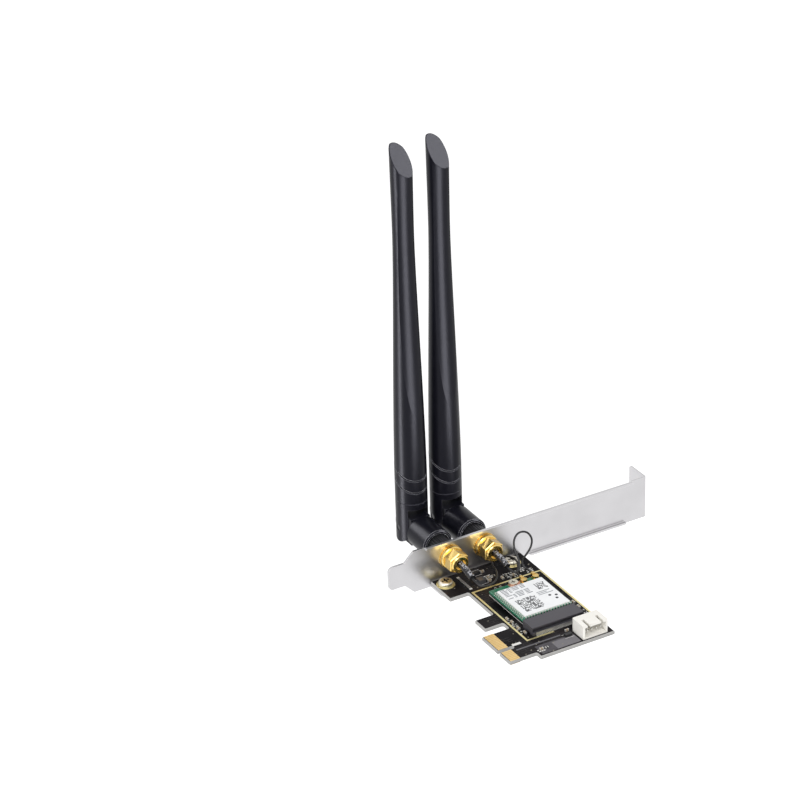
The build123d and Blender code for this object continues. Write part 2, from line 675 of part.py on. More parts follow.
# Standoff under the screw notch, and the screw that clamps the module on it
with BuildPart() as module_standoff:
    with BuildSketch(Plane.XY):
        with Locations((MODULE_MIDDLE, MODULE_NEAR)):
            Circle(STANDOFF_RADIUS)
            Circle(MODULE_SCREW_RADIUS + THREAD_ROOM, mode=Mode.SUBTRACT)
    extrude(amount=MODULE_RISE)
save(module_standoff, "module_standoff")

with BuildPart() as module_screw:
    with BuildSketch(Plane.XY.offset(MODULE_TOP + FOIL)):
        with Locations((MODULE_MIDDLE, MODULE_NEAR)):
            Circle(MODULE_SCREW_HEAD)
    extrude(amount=MODULE_SCREW_HEIGHT)
    with BuildSketch(Plane.XY):
        with Locations((MODULE_MIDDLE, MODULE_NEAR)):
            Circle(MODULE_SCREW_RADIUS)
    extrude(amount=MODULE_TOP + FOIL)
    with BuildSketch(Plane.XY.offset(MODULE_TOP + FOIL + MODULE_SCREW_HEIGHT)):
        with Locations((MODULE_MIDDLE, MODULE_NEAR)):
            Rectangle(MODULE_SCREW_HEAD, RECESS_WIDTH / 2)
            Rectangle(RECESS_WIDTH / 2, MODULE_SCREW_HEAD)
    extrude(amount=-MODULE_SCREW_HEIGHT / 2, mode=Mode.SUBTRACT)
save(module_screw, "module_screw")

# Cable header: a housing open to the far edge, with two latch slots in its top
with BuildPart() as cable_header:
    header_middle = HEADER_LEFT + HEADER_WIDTH / 2
    header_back = HEADER_FRONT + HEADER_DEPTH
    with BuildSketch(Plane.XY):
        with Locations((HEADER_LEFT, HEADER_FRONT)):
            Rectangle(HEADER_WIDTH, HEADER_DEPTH, align=(Align.MIN, Align.MIN))
    extrude(amount=HEADER_HEIGHT)
    fillet(cable_header.edges().filter_by(Axis.Z), radius=HEADER_ROUND)
    with BuildSketch(across(HEADER_FRONT)):
        with Locations((header_middle, HEADER_HEIGHT / 2)):
            Rectangle(HEADER_WIDTH - 2 * HEADER_WALL, HEADER_HEIGHT - 2 * HEADER_WALL)
    extrude(amount=-(HEADER_DEPTH - HEADER_BACK), mode=Mode.SUBTRACT)
    with BuildSketch(Plane.XY.offset(HEADER_HEIGHT)):
        with Locations((header_middle, HEADER_FRONT)):
            with GridLocations(HEADER_SLOT_PITCH, HEADER_SLOT_LENGTH, 2, 1):
                Rectangle(HEADER_SLOT_WIDTH, 2 * HEADER_SLOT_LENGTH)
    extrude(amount=-HEADER_WALL, mode=Mode.SUBTRACT)
    with BuildSketch(across(header_back)):
        with Locations((header_middle, HEADER_HEIGHT / 2)):
            with GridLocations(HEADER_PIN_PITCH, HEADER_PIN, HEADER_PINS, 1):
                Rectangle(HEADER_PIN, HEADER_PIN)
    extrude(amount=HEADER_BACK, mode=Mode.SUBTRACT)
save(cable_header, "cable_header")

with BuildPart() as header_pins:
    with BuildSketch(across(header_back)):
        with Locations((header_middle, HEADER_HEIGHT / 2)):
            with GridLocations(HEADER_PIN_PITCH, HEADER_PIN, HEADER_PINS, 1):
                Rectangle(HEADER_PIN, HEADER_PIN)
    extrude(amount=HEADER_PIN_LENGTH + HEADER_BACK)
    with BuildSketch(across(header_back)):
        with Locations((header_middle, 0)):
            with GridLocations(HEADER_PIN_PITCH, HEADER_PIN, HEADER_PINS, 1):
                Rectangle(HEADER_PIN, HEADER_HEIGHT / 2 + HEADER_PIN / 2, align=(Align.CENTER, Align.MIN))
    extrude(amount=-HEADER_PIN)
save(header_pins, "header_pins")

# Small parts soldered on the main board
with BuildPart() as chip_capacitors:
    with BuildSketch(Plane.XY):
        with Locations(*places(CAPACITOR_PLACES)):
            Rectangle(CHIP_LENGTH, CHIP_WIDTH)
    extrude(amount=CHIP_HEIGHT)
save(chip_capacitors, "chip_capacitors")

with BuildPart() as chip_resistors:
    with BuildSketch(Plane.XY):
        with Locations(*places(RESISTOR_PLACES)):
            Rectangle(RESISTOR_LENGTH, CHIP_WIDTH)
    extrude(amount=RESISTOR_HEIGHT)
save(chip_resistors, "chip_resistors")

with BuildPart() as regulators:
    with BuildSketch(Plane.XY):
        with Locations(*places(CHIP_PLACES)):
            Rectangle(REGULATOR_LENGTH, REGULATOR_WIDTH)
    extrude(amount=REGULATOR_HEIGHT)
save(regulators, "regulators")

with BuildPart() as power_inductor:
    with BuildSketch(Plane.XY):
        with Locations(*places(INDUCTOR_PLACES)):
            Rectangle(INDUCTOR_SIZE, INDUCTOR_SIZE)
    extrude(amount=INDUCTOR_HEIGHT)
    fillet(power_inductor.edges().filter_by(Axis.Z), radius=INDUCTOR_ROUND)
save(power_inductor, "power_inductor")

# Miniature coaxial receptacles on the module
with BuildPart() as coax_receptacles:
    with BuildSketch(Plane.XY.offset(MODULE_TOP)):
        with Locations(*[(x, RECEPTACLE_Y) for x in RECEPTACLES.values()]):
            Rectangle(RECEPTACLE_SIZE, RECEPTACLE_SIZE)
    extrude(amount=RECEPTACLE_BASE)
    with BuildSketch(Plane.XY.offset(MODULE_TOP + RECEPTACLE_BASE)):
        with Locations(*[(x, RECEPTACLE_Y) for x in RECEPTACLES.values()]):
            Circle(RECEPTACLE_POST)
    extrude(amount=RECEPTACLE_POST_HEIGHT)
save(coax_receptacles, "coax_receptacles")


def rounded_route(points):
    """Corner radii that take a fixed share of the shorter run at each corner."""
    runs = [(Vector(*end) - Vector(*start)) for start, end in zip(points, points[1:])]
    radii = []
    for before, after in zip(runs, runs[1:]):
        shorter = min(before.length, after.length)
        radii.append(CORNER_SHARE * shorter / tan(radians(before.get_angle(after) / 2)))
    return radii


# One antenna with its jack, lead and miniature plug on each side
for side, axis_x in JACKS.items():
    # Gold jack through the bracket: hex and recessed rear end on the board side, barrel outside
    with BuildPart() as jack:
        with BuildSketch(across(HEX_START)):
            with Locations((axis_x, JACK_HEIGHT)):
                RegularPolygon(JACK_HEX / 2, 6, major_radius=False, rotation=JACK_HEX_TURN)
        extrude(amount=JACK_HEX_LENGTH)
        chamfer(jack.faces().sort_by(Axis.Y)[0].edges(), length=JACK_HEX_CHAMFER)
        with BuildSketch(across(REAR_START)):
            with Locations((axis_x, JACK_HEIGHT)):
                Circle(JACK_REAR_RADIUS)
        extrude(amount=JACK_REAR_LENGTH)
        chamfer(jack.faces().sort_by(Axis.Y)[0].edges(), length=JACK_REAR_CONE)
        with BuildSketch(across(SLEEVE_START)):
            with Locations((axis_x, JACK_HEIGHT)):
                Circle(JACK_RECESS_RADIUS)
        extrude(amount=JACK_RECESS_DEPTH, mode=Mode.SUBTRACT)
        with BuildSketch(across(HEX_START)):
            with Locations((axis_x, JACK_HEIGHT)):
                Circle(JACK_THREAD_RADIUS)
        extrude(amount=HEX_START - BARREL_END)
    save(jack, f"{side}_jack")

    # Toothed lock washer between the inner nut and the bracket
    with BuildPart() as lock_washer:
        with BuildSketch(across(BRACKET_FACE)):
            with Locations((axis_x, JACK_HEIGHT)):
                Circle(WASHER_RADIUS)
                Circle(JACK_THREAD_RADIUS + JACK_HOLE_ROOM, mode=Mode.SUBTRACT)
                with PolarLocations(WASHER_RADIUS, WASHER_TEETH):
                    Rectangle(WASHER_TOOTH, WASHER_TOOTH, mode=Mode.SUBTRACT)
        extrude(amount=WASHER_THICKNESS)
    save(lock_washer, f"{side}_lock_washer")

    # Round collar nut inside the bracket, against the washer
    with BuildPart() as inner_nut:
        with BuildSketch(across(INNER_NUT_START)):
            with Locations((axis_x, JACK_HEIGHT)):
                Circle(INNER_NUT_RADIUS)
                Circle(JACK_THREAD_RADIUS + THREAD_ROOM, mode=Mode.SUBTRACT)
        extrude(amount=INNER_NUT_LENGTH)
        collar_rim = inner_nut.edges().filter_by(GeomType.CIRCLE).group_by(SortBy.RADIUS)[-1]
        chamfer(collar_rim, length=INNER_NUT_CHAMFER)
    save(inner_nut, f"{side}_inner_nut")

    # Hex nut on the outside of the bracket
    with BuildPart() as panel_nut:
        with BuildSketch(across(BRACKET_BACK)):
            with Locations((axis_x, JACK_HEIGHT)):
                RegularPolygon(JACK_HEX / 2, 6, major_radius=False, rotation=JACK_HEX_TURN)
                Circle(JACK_THREAD_RADIUS + THREAD_ROOM, mode=Mode.SUBTRACT)
        extrude(amount=-PANEL_NUT_LENGTH)
    save(panel_nut, f"{side}_panel_nut")

    # Shrink sleeve over the crimp, sagging under the lead's weight
    with BuildPart() as sleeve:
        with BuildLine() as sleeve_path:
            FilletPolyline(
                (axis_x, SLEEVE_START, JACK_HEIGHT),
                (axis_x, SLEEVE_START - SLEEVE_STRAIGHT, JACK_HEIGHT),
                (axis_x, SLEEVE_END, SLEEVE_END_HEIGHT),
                radius=SLEEVE_BEND,
            )
        with BuildSketch(across(SLEEVE_START)):
            with Locations((axis_x, JACK_HEIGHT)):
                Circle(SLEEVE_RADIUS)
        sweep(path=sleeve_path.wire())
    save(sleeve, f"{side}_sleeve")

    # Coaxial lead from the sleeve to the miniature plug
    plug_x = RECEPTACLES[side]
    route = [(axis_x, SLEEVE_END, SLEEVE_END_HEIGHT)]
    route += LEAD_POINTS[side]
    route += [(plug_x, PLUG_ARM_END, PLUG_ARM_HEIGHT)]
    corner_radii = rounded_route(route)
    print(side, "lead corner radii", [round(radius, 1) for radius in corner_radii])
    with BuildPart() as lead:
        with BuildLine() as lead_path:
            FilletPolyline(*route, radius=corner_radii)
        lead_wire = lead_path.wire()
        with BuildSketch(Plane(lead_wire @ 0, z_dir=lead_wire % 0)):
            Circle(LEAD_DIAMETER / 2)
        sweep(path=lead_wire)
    lead_section = lead.part.volume / lead_wire.length
    print(side, "lead length", round(lead_wire.length, 2), "mean section", round(lead_section, 4))
    save(lead, f"{side}_lead")

    # Miniature plug: a cap over the receptacle's post, with the crimp arm towards the bracket
    with BuildPart() as mini_plug:
        with BuildSketch(Plane.XY.offset(MODULE_TOP + RECEPTACLE_BASE)):
            with Locations((plug_x, RECEPTACLE_Y)):
                Circle(MINI_PLUG_RADIUS)
        extrude(amount=MINI_PLUG_HEIGHT)
        with BuildSketch(across(PLUG_ARM_END)):
            with Locations((plug_x, PLUG_ARM_HEIGHT)):
                Rectangle(MINI_PLUG_ARM, MINI_PLUG_ARM)
        extrude(amount=MINI_PLUG_REACH - MINI_PLUG_RADIUS + MINI_PLUG_WALL)
        with BuildSketch(Plane.XY.offset(MODULE_TOP + RECEPTACLE_BASE)):
            with Locations((plug_x, RECEPTACLE_Y)):
                Circle(MINI_PLUG_RADIUS - MINI_PLUG_WALL)
        extrude(amount=MINI_PLUG_HEIGHT - MINI_PLUG_WALL / 2, mode=Mode.SUBTRACT)
    save(mini_plug, f"{side}_mini_plug")

    # Knurled coupling nut, screwed on the jack's barrel
    with BuildPart() as coupling_nut:
        with BuildSketch(across(NUT_START)):
            with Locations((axis_x, JACK_HEIGHT)):
                Circle(NUT_RADIUS)
                with PolarLocations(NUT_RADIUS, NUT_RIDGES):
                    Rectangle(NUT_GROOVE, NUT_GROOVE, rotation=NUT_GROOVE_TURN, mode=Mode.SUBTRACT)
        extrude(amount=-NUT_LENGTH)
        with BuildSketch(across(NUT_START)):
            with Locations((axis_x, JACK_HEIGHT)):
                Circle(JACK_THREAD_RADIUS + NUT_BORE_ROOM)
        extrude(amount=NUT_START - NUT_FLOOR, mode=Mode.SUBTRACT)
        with BuildSketch(across(NUT_FLOOR)):
            with Locations((axis_x, JACK_HEIGHT)):
                Circle(PLUG_NECK_RADIUS + PLUG_RUN)
        extrude(amount=-NUT_BACK, mode=Mode.SUBTRACT)
    save(coupling_nut, f"{side}_coupling_nut")

    # Antenna plug: its flange is held in the nut, and its neck turns in the nut's end hole
    with BuildPart() as antenna_plug:
        with BuildSketch(across(PLUG_START)):
            with Locations((axis_x, JACK_HEIGHT)):
                Circle(PLUG_FLANGE_RADIUS)
        extrude(amount=-PLUG_FLANGE)
        with BuildSketch(across(PLUG_START)):
            with Locations((axis_x, JACK_HEIGHT)):
                Circle(PLUG_NECK_RADIUS)
        extrude(amount=-PLUG_FLANGE - PLUG_END_GAP - NUT_BACK - PLUG_NECK_LENGTH)
    save(antenna_plug, f"{side}_antenna_plug")

    # Swivel base: round body with a skirt over the nut, and a knuckle between the fork's ears
    with BuildPart() as swivel_base:
        with BuildSketch(across(BASE_FRONT)):
            with Locations((axis_x, JACK_HEIGHT)):
                Circle(BASE_RADIUS)
        extrude(amount=BASE_FRONT - BASE_BACK)
        chamfer(swivel_base.edges().filter_by(GeomType.CIRCLE), length=BASE_CHAMFER)
        knuckle_half = FORK_SLOT / 2 - KNUCKLE_ROOM
        with BuildSketch(Plane.YZ.offset(axis_x - knuckle_half)):
            with Locations((BASE_BACK, JACK_HEIGHT)):
                Rectangle(BASE_SHOULDER, 2 * KNUCKLE_RADIUS, align=(Align.MIN, Align.CENTER))
            with Locations((HINGE_Y, JACK_HEIGHT)):
                Circle(KNUCKLE_RADIUS)
        extrude(amount=2 * knuckle_half)
        with BuildSketch(across(BASE_FRONT)):
            with Locations((axis_x, JACK_HEIGHT)):
                Circle(NUT_RADIUS + SKIRT_ROOM)
        extrude(amount=BASE_FRONT - SKIRT_END, mode=Mode.SUBTRACT)
        with BuildSketch(across(SKIRT_END)):
            with Locations((axis_x, JACK_HEIGHT)):
                Circle(PLUG_NECK_RADIUS + PLUG_SEAT)
        extrude(amount=SKIRT_FLOOR - PLUG_NECK_LENGTH, mode=Mode.SUBTRACT)
        with BuildSketch(Plane.YZ.offset(axis_x - knuckle_half)):
            with Locations((HINGE_Y, JACK_HEIGHT)):
                Circle(PIN_RADIUS + PIN_RUN)
        extrude(amount=2 * knuckle_half, mode=Mode.SUBTRACT)
    save(swivel_base, f"{side}_swivel_base")

    # Hinge pin across both ears
    pin_half = BLADE_RADIUS - PIN_INSET - PIN_RADIUS**2 / (2 * BLADE_RADIUS)
    with BuildPart() as hinge_pin:
        with BuildSketch(Plane.YZ.offset(axis_x - pin_half)):
            with Locations((HINGE_Y, JACK_HEIGHT)):
                Circle(PIN_RADIUS)
        extrude(amount=2 * pin_half)
    save(hinge_pin, f"{side}_hinge_pin")

    # Fork: round column whose lower end is slotted into two round-ended ears
    with BuildPart() as fork:
        with BuildSketch(Plane.YZ.offset(axis_x - BLADE_RADIUS)):
            with Locations((HINGE_Y, JACK_HEIGHT)):
                Rectangle(2 * BLADE_RADIUS, FORK_TOP + RING_RISE, align=(Align.CENTER, Align.MIN))
                Circle(EAR_ROUND)
        extrude(amount=2 * BLADE_RADIUS)
        with BuildSketch(Plane.XY.offset(JACK_HEIGHT - EAR_ROUND)):
            with Locations((axis_x, HINGE_Y)):
                Circle(BLADE_RADIUS)
        extrude(amount=EAR_ROUND + FORK_TOP + RING_RISE, mode=Mode.INTERSECT)
        split(bisect_by=ring_plane(axis_x, FORK_TOP), keep=Keep.BOTTOM)
        chamfer(fork.faces().filter_by(GeomType.PLANE).sort_by(Axis.Z)[-1].edges(), length=RIM_CHAMFER)
        with BuildSketch(Plane.XY.offset(JACK_HEIGHT + FORK_SEAM)):
            with Locations((axis_x, HINGE_Y)):
                Circle(BLADE_RADIUS + SEAM_DEPTH)
                Circle(BLADE_RADIUS - SEAM_DEPTH, mode=Mode.SUBTRACT)
        extrude(amount=SEAM_WIDTH, mode=Mode.SUBTRACT)
        with BuildSketch(across(HINGE_Y + BLADE_RADIUS)):
            with Locations((axis_x, JACK_HEIGHT - EAR_ROUND)):
                Rectangle(FORK_SLOT, EAR_ROUND + FORK_CROTCH, align=(Align.CENTER, Align.MIN))
        extrude(amount=2 * BLADE_RADIUS, mode=Mode.SUBTRACT)
        with BuildSketch(Plane.YZ.offset(axis_x - BLADE_RADIUS)):
            with Locations((HINGE_Y, JACK_HEIGHT)):
                Circle(PIN_RADIUS + PIN_SEAT)
        extrude(amount=2 * BLADE_RADIUS, mode=Mode.SUBTRACT)
    save(fork, f"{side}_fork")

    # Slanted band between the fork and the radome
    with BuildPart() as band:
        with BuildSketch(Plane.XY.offset(JACK_HEIGHT + FORK_TOP - RING_RISE)):
            with Locations((axis_x, HINGE_Y)):
                Circle(BLADE_RADIUS)
        extrude(amount=BAND_TOP - FORK_TOP + 2 * RING_RISE)
        split(bisect_by=ring_plane(axis_x, FORK_TOP), keep=Keep.TOP)
        split(bisect_by=ring_plane(axis_x, BAND_TOP), keep=Keep.BOTTOM)
        chamfer(band.faces().filter_by(GeomType.PLANE).edges(), length=RIM_CHAMFER)
    save(band, f"{side}_band")

    # Radome: tapers to a waist, has a crowned scoop in front and behind, and ends in a slanted face
    radome_foot = JACK_HEIGHT + BAND_TOP - RING_RISE
    waist = JACK_HEIGHT + WAIST_HEIGHT
    tip = JACK_HEIGHT + TIP_HEIGHT
    radome_top = tip + TIP_RADIUS * tan(radians(TIP_SLOPE))
    scoop_start = JACK_HEIGHT + SCOOP_START
    taper = waist - radome_foot
    flare = tip - waist
    scoop = waist - scoop_start
    with BuildPart() as radome:
        with BuildSketch(Plane((axis_x, HINGE_Y, 0), x_dir=(1, 0, 0), z_dir=(0, -1, 0))):
            with BuildLine():
                Polyline(
                    (TIP_RADIUS, tip),
                    (TIP_RADIUS, radome_top),
                    (0, radome_top),
                    (0, radome_foot),
                    (BLADE_RADIUS, radome_foot),
                )
                Bezier(
                    (BLADE_RADIUS, radome_foot),
                    (BLADE_RADIUS - TAPER_EASE, radome_foot + taper * TAPER_SHARE),
                    (WAIST_RADIUS, waist - taper * WAIST_SHARE),
                    (WAIST_RADIUS, waist),
                )
                Bezier(
                    (WAIST_RADIUS, waist),
                    (WAIST_RADIUS, waist + flare * TAPER_SHARE),
                    (TIP_RADIUS, tip - flare * TAPER_SHARE),
                    (TIP_RADIUS, tip),
                )
            make_face()
        revolve(axis=Axis((axis_x, HINGE_Y, 0), (0, 0, 1)))
        for behind in (CROWN_SHIFT, -CROWN_SHIFT):
            with BuildSketch(Plane((axis_x, HINGE_Y + behind, 0), x_dir=(1, 0, 0), z_dir=(0, -1, 0))):
                with BuildLine():
                    Polyline(
                        (CROWN_SHIFT + SCOOP_TIP_HALF, tip),
                        (CROWN_SHIFT + SCOOP_TIP_HALF, radome_top),
                        (0, radome_top),
                        (0, radome_foot),
                        (CROWN_SHIFT + BLADE_RADIUS, radome_foot),
                        (CROWN_SHIFT + BLADE_RADIUS, scoop_start),
                    )
                    Bezier(
                        (CROWN_SHIFT + BLADE_RADIUS, scoop_start),
                        (CROWN_SHIFT + BLADE_RADIUS - SCOOP_EASE, scoop_start + scoop * SCOOP_SHARE),
                        (CROWN_SHIFT + SCOOP_HALF, waist - scoop * TAPER_SHARE),
                        (CROWN_SHIFT + SCOOP_HALF, waist),
                    )
                    Bezier(
                        (CROWN_SHIFT + SCOOP_HALF, waist),
                        (CROWN_SHIFT + SCOOP_HALF, waist + flare * TAPER_SHARE),
                        (CROWN_SHIFT + SCOOP_TIP_HALF, tip - flare * TAPER_SHARE),
                        (CROWN_SHIFT + SCOOP_TIP_HALF, tip),
                    )
                make_face()
            revolve(axis=Axis((axis_x, HINGE_Y + behind, 0), (0, 0, 1)), mode=Mode.INTERSECT)
        across_slope = Vector(cos(radians(TIP_TURN)), sin(radians(TIP_TURN)), 0)
        up_slope = Vector(0, 0, 1).cross(across_slope) * cos(radians(TIP_SLOPE))
        tip_plane = Plane(
            (axis_x, HINGE_Y, JACK_HEIGHT + TIP_MIDDLE),
            x_dir=across_slope,
            z_dir=across_slope.cross(up_slope + Vector(0, 0, sin(radians(TIP_SLOPE)))),
        )
        split(bisect_by=tip_plane, keep=Keep.BOTTOM)
        split(bisect_by=ring_plane(axis_x, BAND_TOP), keep=Keep.TOP)
        foot_face = radome.faces().filter_by(GeomType.PLANE).sort_by(Axis.Z)[0]
        chamfer(foot_face.edges(), length=RIM_CHAMFER)
        tip_face = radome.faces().filter_by(GeomType.PLANE).sort_by(Axis.Z)[-1]
        fillet(tip_face.edges(), radius=TIP_ROUND)
    save(radome, f"{side}_radome")
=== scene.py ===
import bmesh
import bpy
from mathutils import Matrix, Vector


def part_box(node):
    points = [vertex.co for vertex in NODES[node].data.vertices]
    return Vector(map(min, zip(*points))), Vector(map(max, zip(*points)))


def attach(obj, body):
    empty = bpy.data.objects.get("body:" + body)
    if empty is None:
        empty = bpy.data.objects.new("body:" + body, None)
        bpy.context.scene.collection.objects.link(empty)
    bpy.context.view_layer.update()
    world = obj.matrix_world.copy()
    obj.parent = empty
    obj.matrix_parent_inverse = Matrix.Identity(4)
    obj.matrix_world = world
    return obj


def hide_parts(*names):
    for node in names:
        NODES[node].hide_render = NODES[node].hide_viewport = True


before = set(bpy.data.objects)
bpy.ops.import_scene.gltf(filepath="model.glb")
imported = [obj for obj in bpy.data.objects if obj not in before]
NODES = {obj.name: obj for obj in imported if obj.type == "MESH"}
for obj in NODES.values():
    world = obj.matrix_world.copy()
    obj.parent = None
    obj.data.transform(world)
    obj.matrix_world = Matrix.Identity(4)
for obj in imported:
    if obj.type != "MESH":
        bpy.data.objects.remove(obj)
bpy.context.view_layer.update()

MM = 0.001
AXIS_X, AXIS_Y, AXIS_Z = 0, 1, 2


def linear(code):
    """Colour from an sRGB hex code, as linear red, green, blue and alpha."""
    channels = []
    for start in (0, 2, 4):
        value = int(code[start:start + 2], 16) / 255
        channels.append(value / 12.92 if value <= 0.04045 else ((value + 0.055) / 1.055) ** 2.4)
    return (*channels, 1.0)


def add(tree, kind, inputs=None, **settings):
    """Add one shader node: settings are its own options, inputs are values or other nodes' outputs."""
    made = tree.nodes.new(kind)
    for name, value in settings.items():
        setattr(made, name, value)
    for socket, value in (inputs or {}).items():
        if isinstance(value, bpy.types.NodeSocket):
            tree.links.new(value, made.inputs[socket])
        else:
            made.inputs[socket].default_value = value
    return made


def new_finish(name, **shader_values):
    """Start a material: its node tree, its shader and the piece's own coordinates in metres."""
    material = bpy.data.materials.new(name)
    material.use_nodes = True
    tree = material.node_tree
    shader = tree.nodes["Principled BSDF"]
    for socket, value in shader_values.items():
        shader.inputs[socket.replace("_", " ")].default_value = value
    place = add(tree, "ShaderNodeTexCoord").outputs["Object"]
    return material, tree, shader, place


def grain(tree, place, size, stretch=(1, 1, 1), detail=2.0):
    """Noise from 0 to 1 whose spots are about size metres wide, stretched along an axis if asked."""
    spread = add(tree, "ShaderNodeMapping", {"Vector": place, "Scale": stretch})
    spots = {"Vector": spread.outputs[0], "Scale": 1 / size, "Detail": detail}
    return add(tree, "ShaderNodeTexNoise", spots).outputs["Fac"]


def between(tree, amount, low, high):
    """Spread a pattern's middle values, where most of it lies, over the range from low to high."""
    spread = add(tree, "ShaderNodeMapRange", {"Value": amount, "From Min": 0.3, "From Max": 0.7})
    spread.inputs["To Min"].default_value = low
    spread.inputs["To Max"].default_value = high
    return spread.outputs[0]


def tint(tree, amount, first, second):
    """Colour between two others, by an amount from 0 to 1."""
    mixed = add(tree, "ShaderNodeMix", {"Factor": amount}, data_type="RGBA")
    for socket, value in (("A", first), ("B", second)):
        target = [each for each in mixed.inputs if each.name == socket and each.type == "RGBA"][0]
        if isinstance(value, bpy.types.NodeSocket):
            tree.links.new(value, target)
        else:
            target.default_value = value
    return [each for each in mixed.outputs if each.type == "RGBA"][0]


def relief(tree, shader, height, depth, strength, edge):
    """Bump from a height pattern, on edges that are broken by a small radius."""
    eased = add(tree, "ShaderNodeBevel", {"Radius": edge}, samples=6)
    bump = add(tree, "ShaderNodeBump", {"Height": height, "Distance": depth, "Strength": strength})
    tree.links.new(eased.outputs[0], bump.inputs["Normal"])
    tree.links.new(bump.outputs[0], shader.inputs["Normal"])


# Cosine between the rounded and the true surface, where an edge begins and where it is full
FLAT_COSINE = 0.995
TURNED_COSINE = 0.9


def edge_highlight_mask(tree, radius):
    """1 near an edge, where a rounded edge would turn the surface, and 0 on the flat."""
    rounded = add(tree, "ShaderNodeBevel", {"Radius": radius}, samples=8).outputs[0]
    own = add(tree, "ShaderNodeNewGeometry").outputs["Normal"]
    along = add(tree, "ShaderNodeVectorMath", {0: rounded, 1: own}, operation="DOT_PRODUCT")
    turned = {"Value": along.outputs["Value"], "From Min": FLAT_COSINE, "From Max": TURNED_COSINE}
    return add(tree, "ShaderNodeMapRange", turned).outputs[0]


# Share of open sky at which a recess is fully dark, and at which it is fully lit
SHUT = 0.35
OPEN = 0.75


def open_to_light(tree, reach):
    """0 deep in a recess and 1 in the open, judged over a distance."""
    around = add(tree, "ShaderNodeAmbientOcclusion", {"Distance": reach}, samples=8)
    spread = {"Value": around.outputs["AO"], "From Min": SHUT, "From Max": OPEN}
    return add(tree, "ShaderNodeMapRange", spread).outputs[0]


def inside(tree, parts, bounds):
    """1 inside a range of X, Y or Z and 0 outside, as one product over the ranges given."""
    result = None
    for axis, low, high in bounds:
        above = add(tree, "ShaderNodeMath", {0: parts.outputs[axis], 1: low}, operation="GREATER_THAN")
        below = add(tree, "ShaderNodeMath", {0: parts.outputs[axis], 1: high}, operation="LESS_THAN")
        both = add(tree, "ShaderNodeMath", {0: above.outputs[0], 1: below.outputs[0]}, operation="MULTIPLY")
        if result is not None:
            both = add(tree, "ShaderNodeMath", {0: both.outputs[0], 1: result}, operation="MULTIPLY")
        result = both.outputs[0]
    return result


# Heights of the antennas' slanted rings, and the depth of the swivel base's rim, where the painted edge
# highlight is brightest
RINGS_FOOT = 25 * MM
RINGS_TOP = 40 * MM
BASE_RIM = 1.2 * MM
RIM_MARGIN = 0.1 * MM


# Moulded black plastic of the antennas: spark-eroded mould, so a fine grain that spreads the highlight
def moulded_black_plastic():
    material, tree, shader, place = new_finish("moulded_black_plastic", Metallic=0.0, IOR=1.5)
    shader.inputs["Specular IOR Level"].default_value = 0.13
    cloud = grain(tree, place, 9 * MM, detail=3)
    skin = tint(tree, cloud, linear("0A0A10"), linear("121219"))
    # painted highlight along the edges, brightest on the rings above the knuckle and the rim of the swivel
    # base
    parts = add(tree, "ShaderNodeSeparateXYZ", {"Vector": place})
    rim_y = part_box("left_swivel_base")[0][1]
    rings = inside(tree, parts, ((AXIS_Z, RINGS_FOOT, RINGS_TOP),))
    rim = inside(tree, parts, ((AXIS_Y, rim_y - RIM_MARGIN, rim_y + BASE_RIM),))
    ring_and_rim_highlight = add(tree, "ShaderNodeMath", {0: rings, 1: rim}, operation="MAXIMUM")
    highlight_tone = tint(tree, ring_and_rim_highlight.outputs[0], linear("3A3A41"), linear("B8B8BE"))
    edge_highlit_skin = tint(tree, edge_highlight_mask(tree, 0.3 * MM), skin, highlight_tone)
    tree.links.new(edge_highlit_skin, shader.inputs["Base Color"])
    shader.inputs["Specular Tint"].default_value = linear("F1F1FF")
    # grain of about 0.25 mm, drawn at 0.4 mm so that it shows
    fine = grain(tree, place, 0.4 * MM, detail=2)
    tree.links.new(between(tree, fine, 0.28, 0.36), shader.inputs["Roughness"])
    relief(tree, shader, fine, depth=0.02 * MM, strength=0.12, edge=0.15 * MM)
    return material


# Black-plated brass of the coupling nuts and hinge pins: a harder, brighter highlight than the plastic
def black_plated_brass():
    material, tree, shader, place = new_finish("black_plated_brass", Metallic=0.6, IOR=1.5)
    cloud = grain(tree, place, 3 * MM)
    tree.links.new(tint(tree, cloud, linear("2A2A2D"), linear("3A3A3E")), shader.inputs["Base Color"])
    tree.links.new(between(tree, cloud, 0.28, 0.36), shader.inputs["Roughness"])
    relief(tree, shader, grain(tree, place, 0.3 * MM), depth=0.02 * MM, strength=0.2, edge=0.08 * MM)
    return material


# Nickel-plated rolled sheet: faint rolling streaks along its length, soft mirror
def nickel_sheet():
    material, tree, shader, place = new_finish("nickel_sheet", Metallic=1.0)
    streak = grain(tree, place, 0.5 * MM, stretch=(0.03, 1, 1), detail=3)
    cloud = grain(tree, place, 14 * MM)
    plate = tint(tree, cloud, linear("BEBDBF"), linear("D4D3D5"))
    # painted highlight: the colour is lighter along the edges
    bright = tint(tree, edge_highlight_mask(tree, 0.15 * MM), plate, linear("EDEDED"))
    tree.links.new(bright, shader.inputs["Base Color"])
    tree.links.new(between(tree, streak, 0.29, 0.33), shader.inputs["Roughness"])
    relief(tree, shader, streak, depth=0.003 * MM, strength=0.06, edge=0.12 * MM)
    return material


# Bright nickel-plated screws: pressed heads, a little uneven, with a warm gleam
def nickel_screw():
    material, tree, shader, place = new_finish("nickel_screw", Metallic=1.0)
    cloud = grain(tree, place, 1.5 * MM)
    plate = tint(tree, cloud, linear("D6CFBC"), linear("EAE6DA"))
    # painted shade: the colour darkens in the recess
    out_of_shade = open_to_light(tree, 1.2 * MM)
    tree.links.new(tint(tree, out_of_shade, linear("2B2823"), plate), shader.inputs["Base Color"])
    tree.links.new(between(tree, cloud, 0.3, 0.4), shader.inputs["Roughness"])
    relief(tree, shader, grain(tree, place, 0.2 * MM), depth=0.02 * MM, strength=0.2, edge=0.1 * MM)
    return material


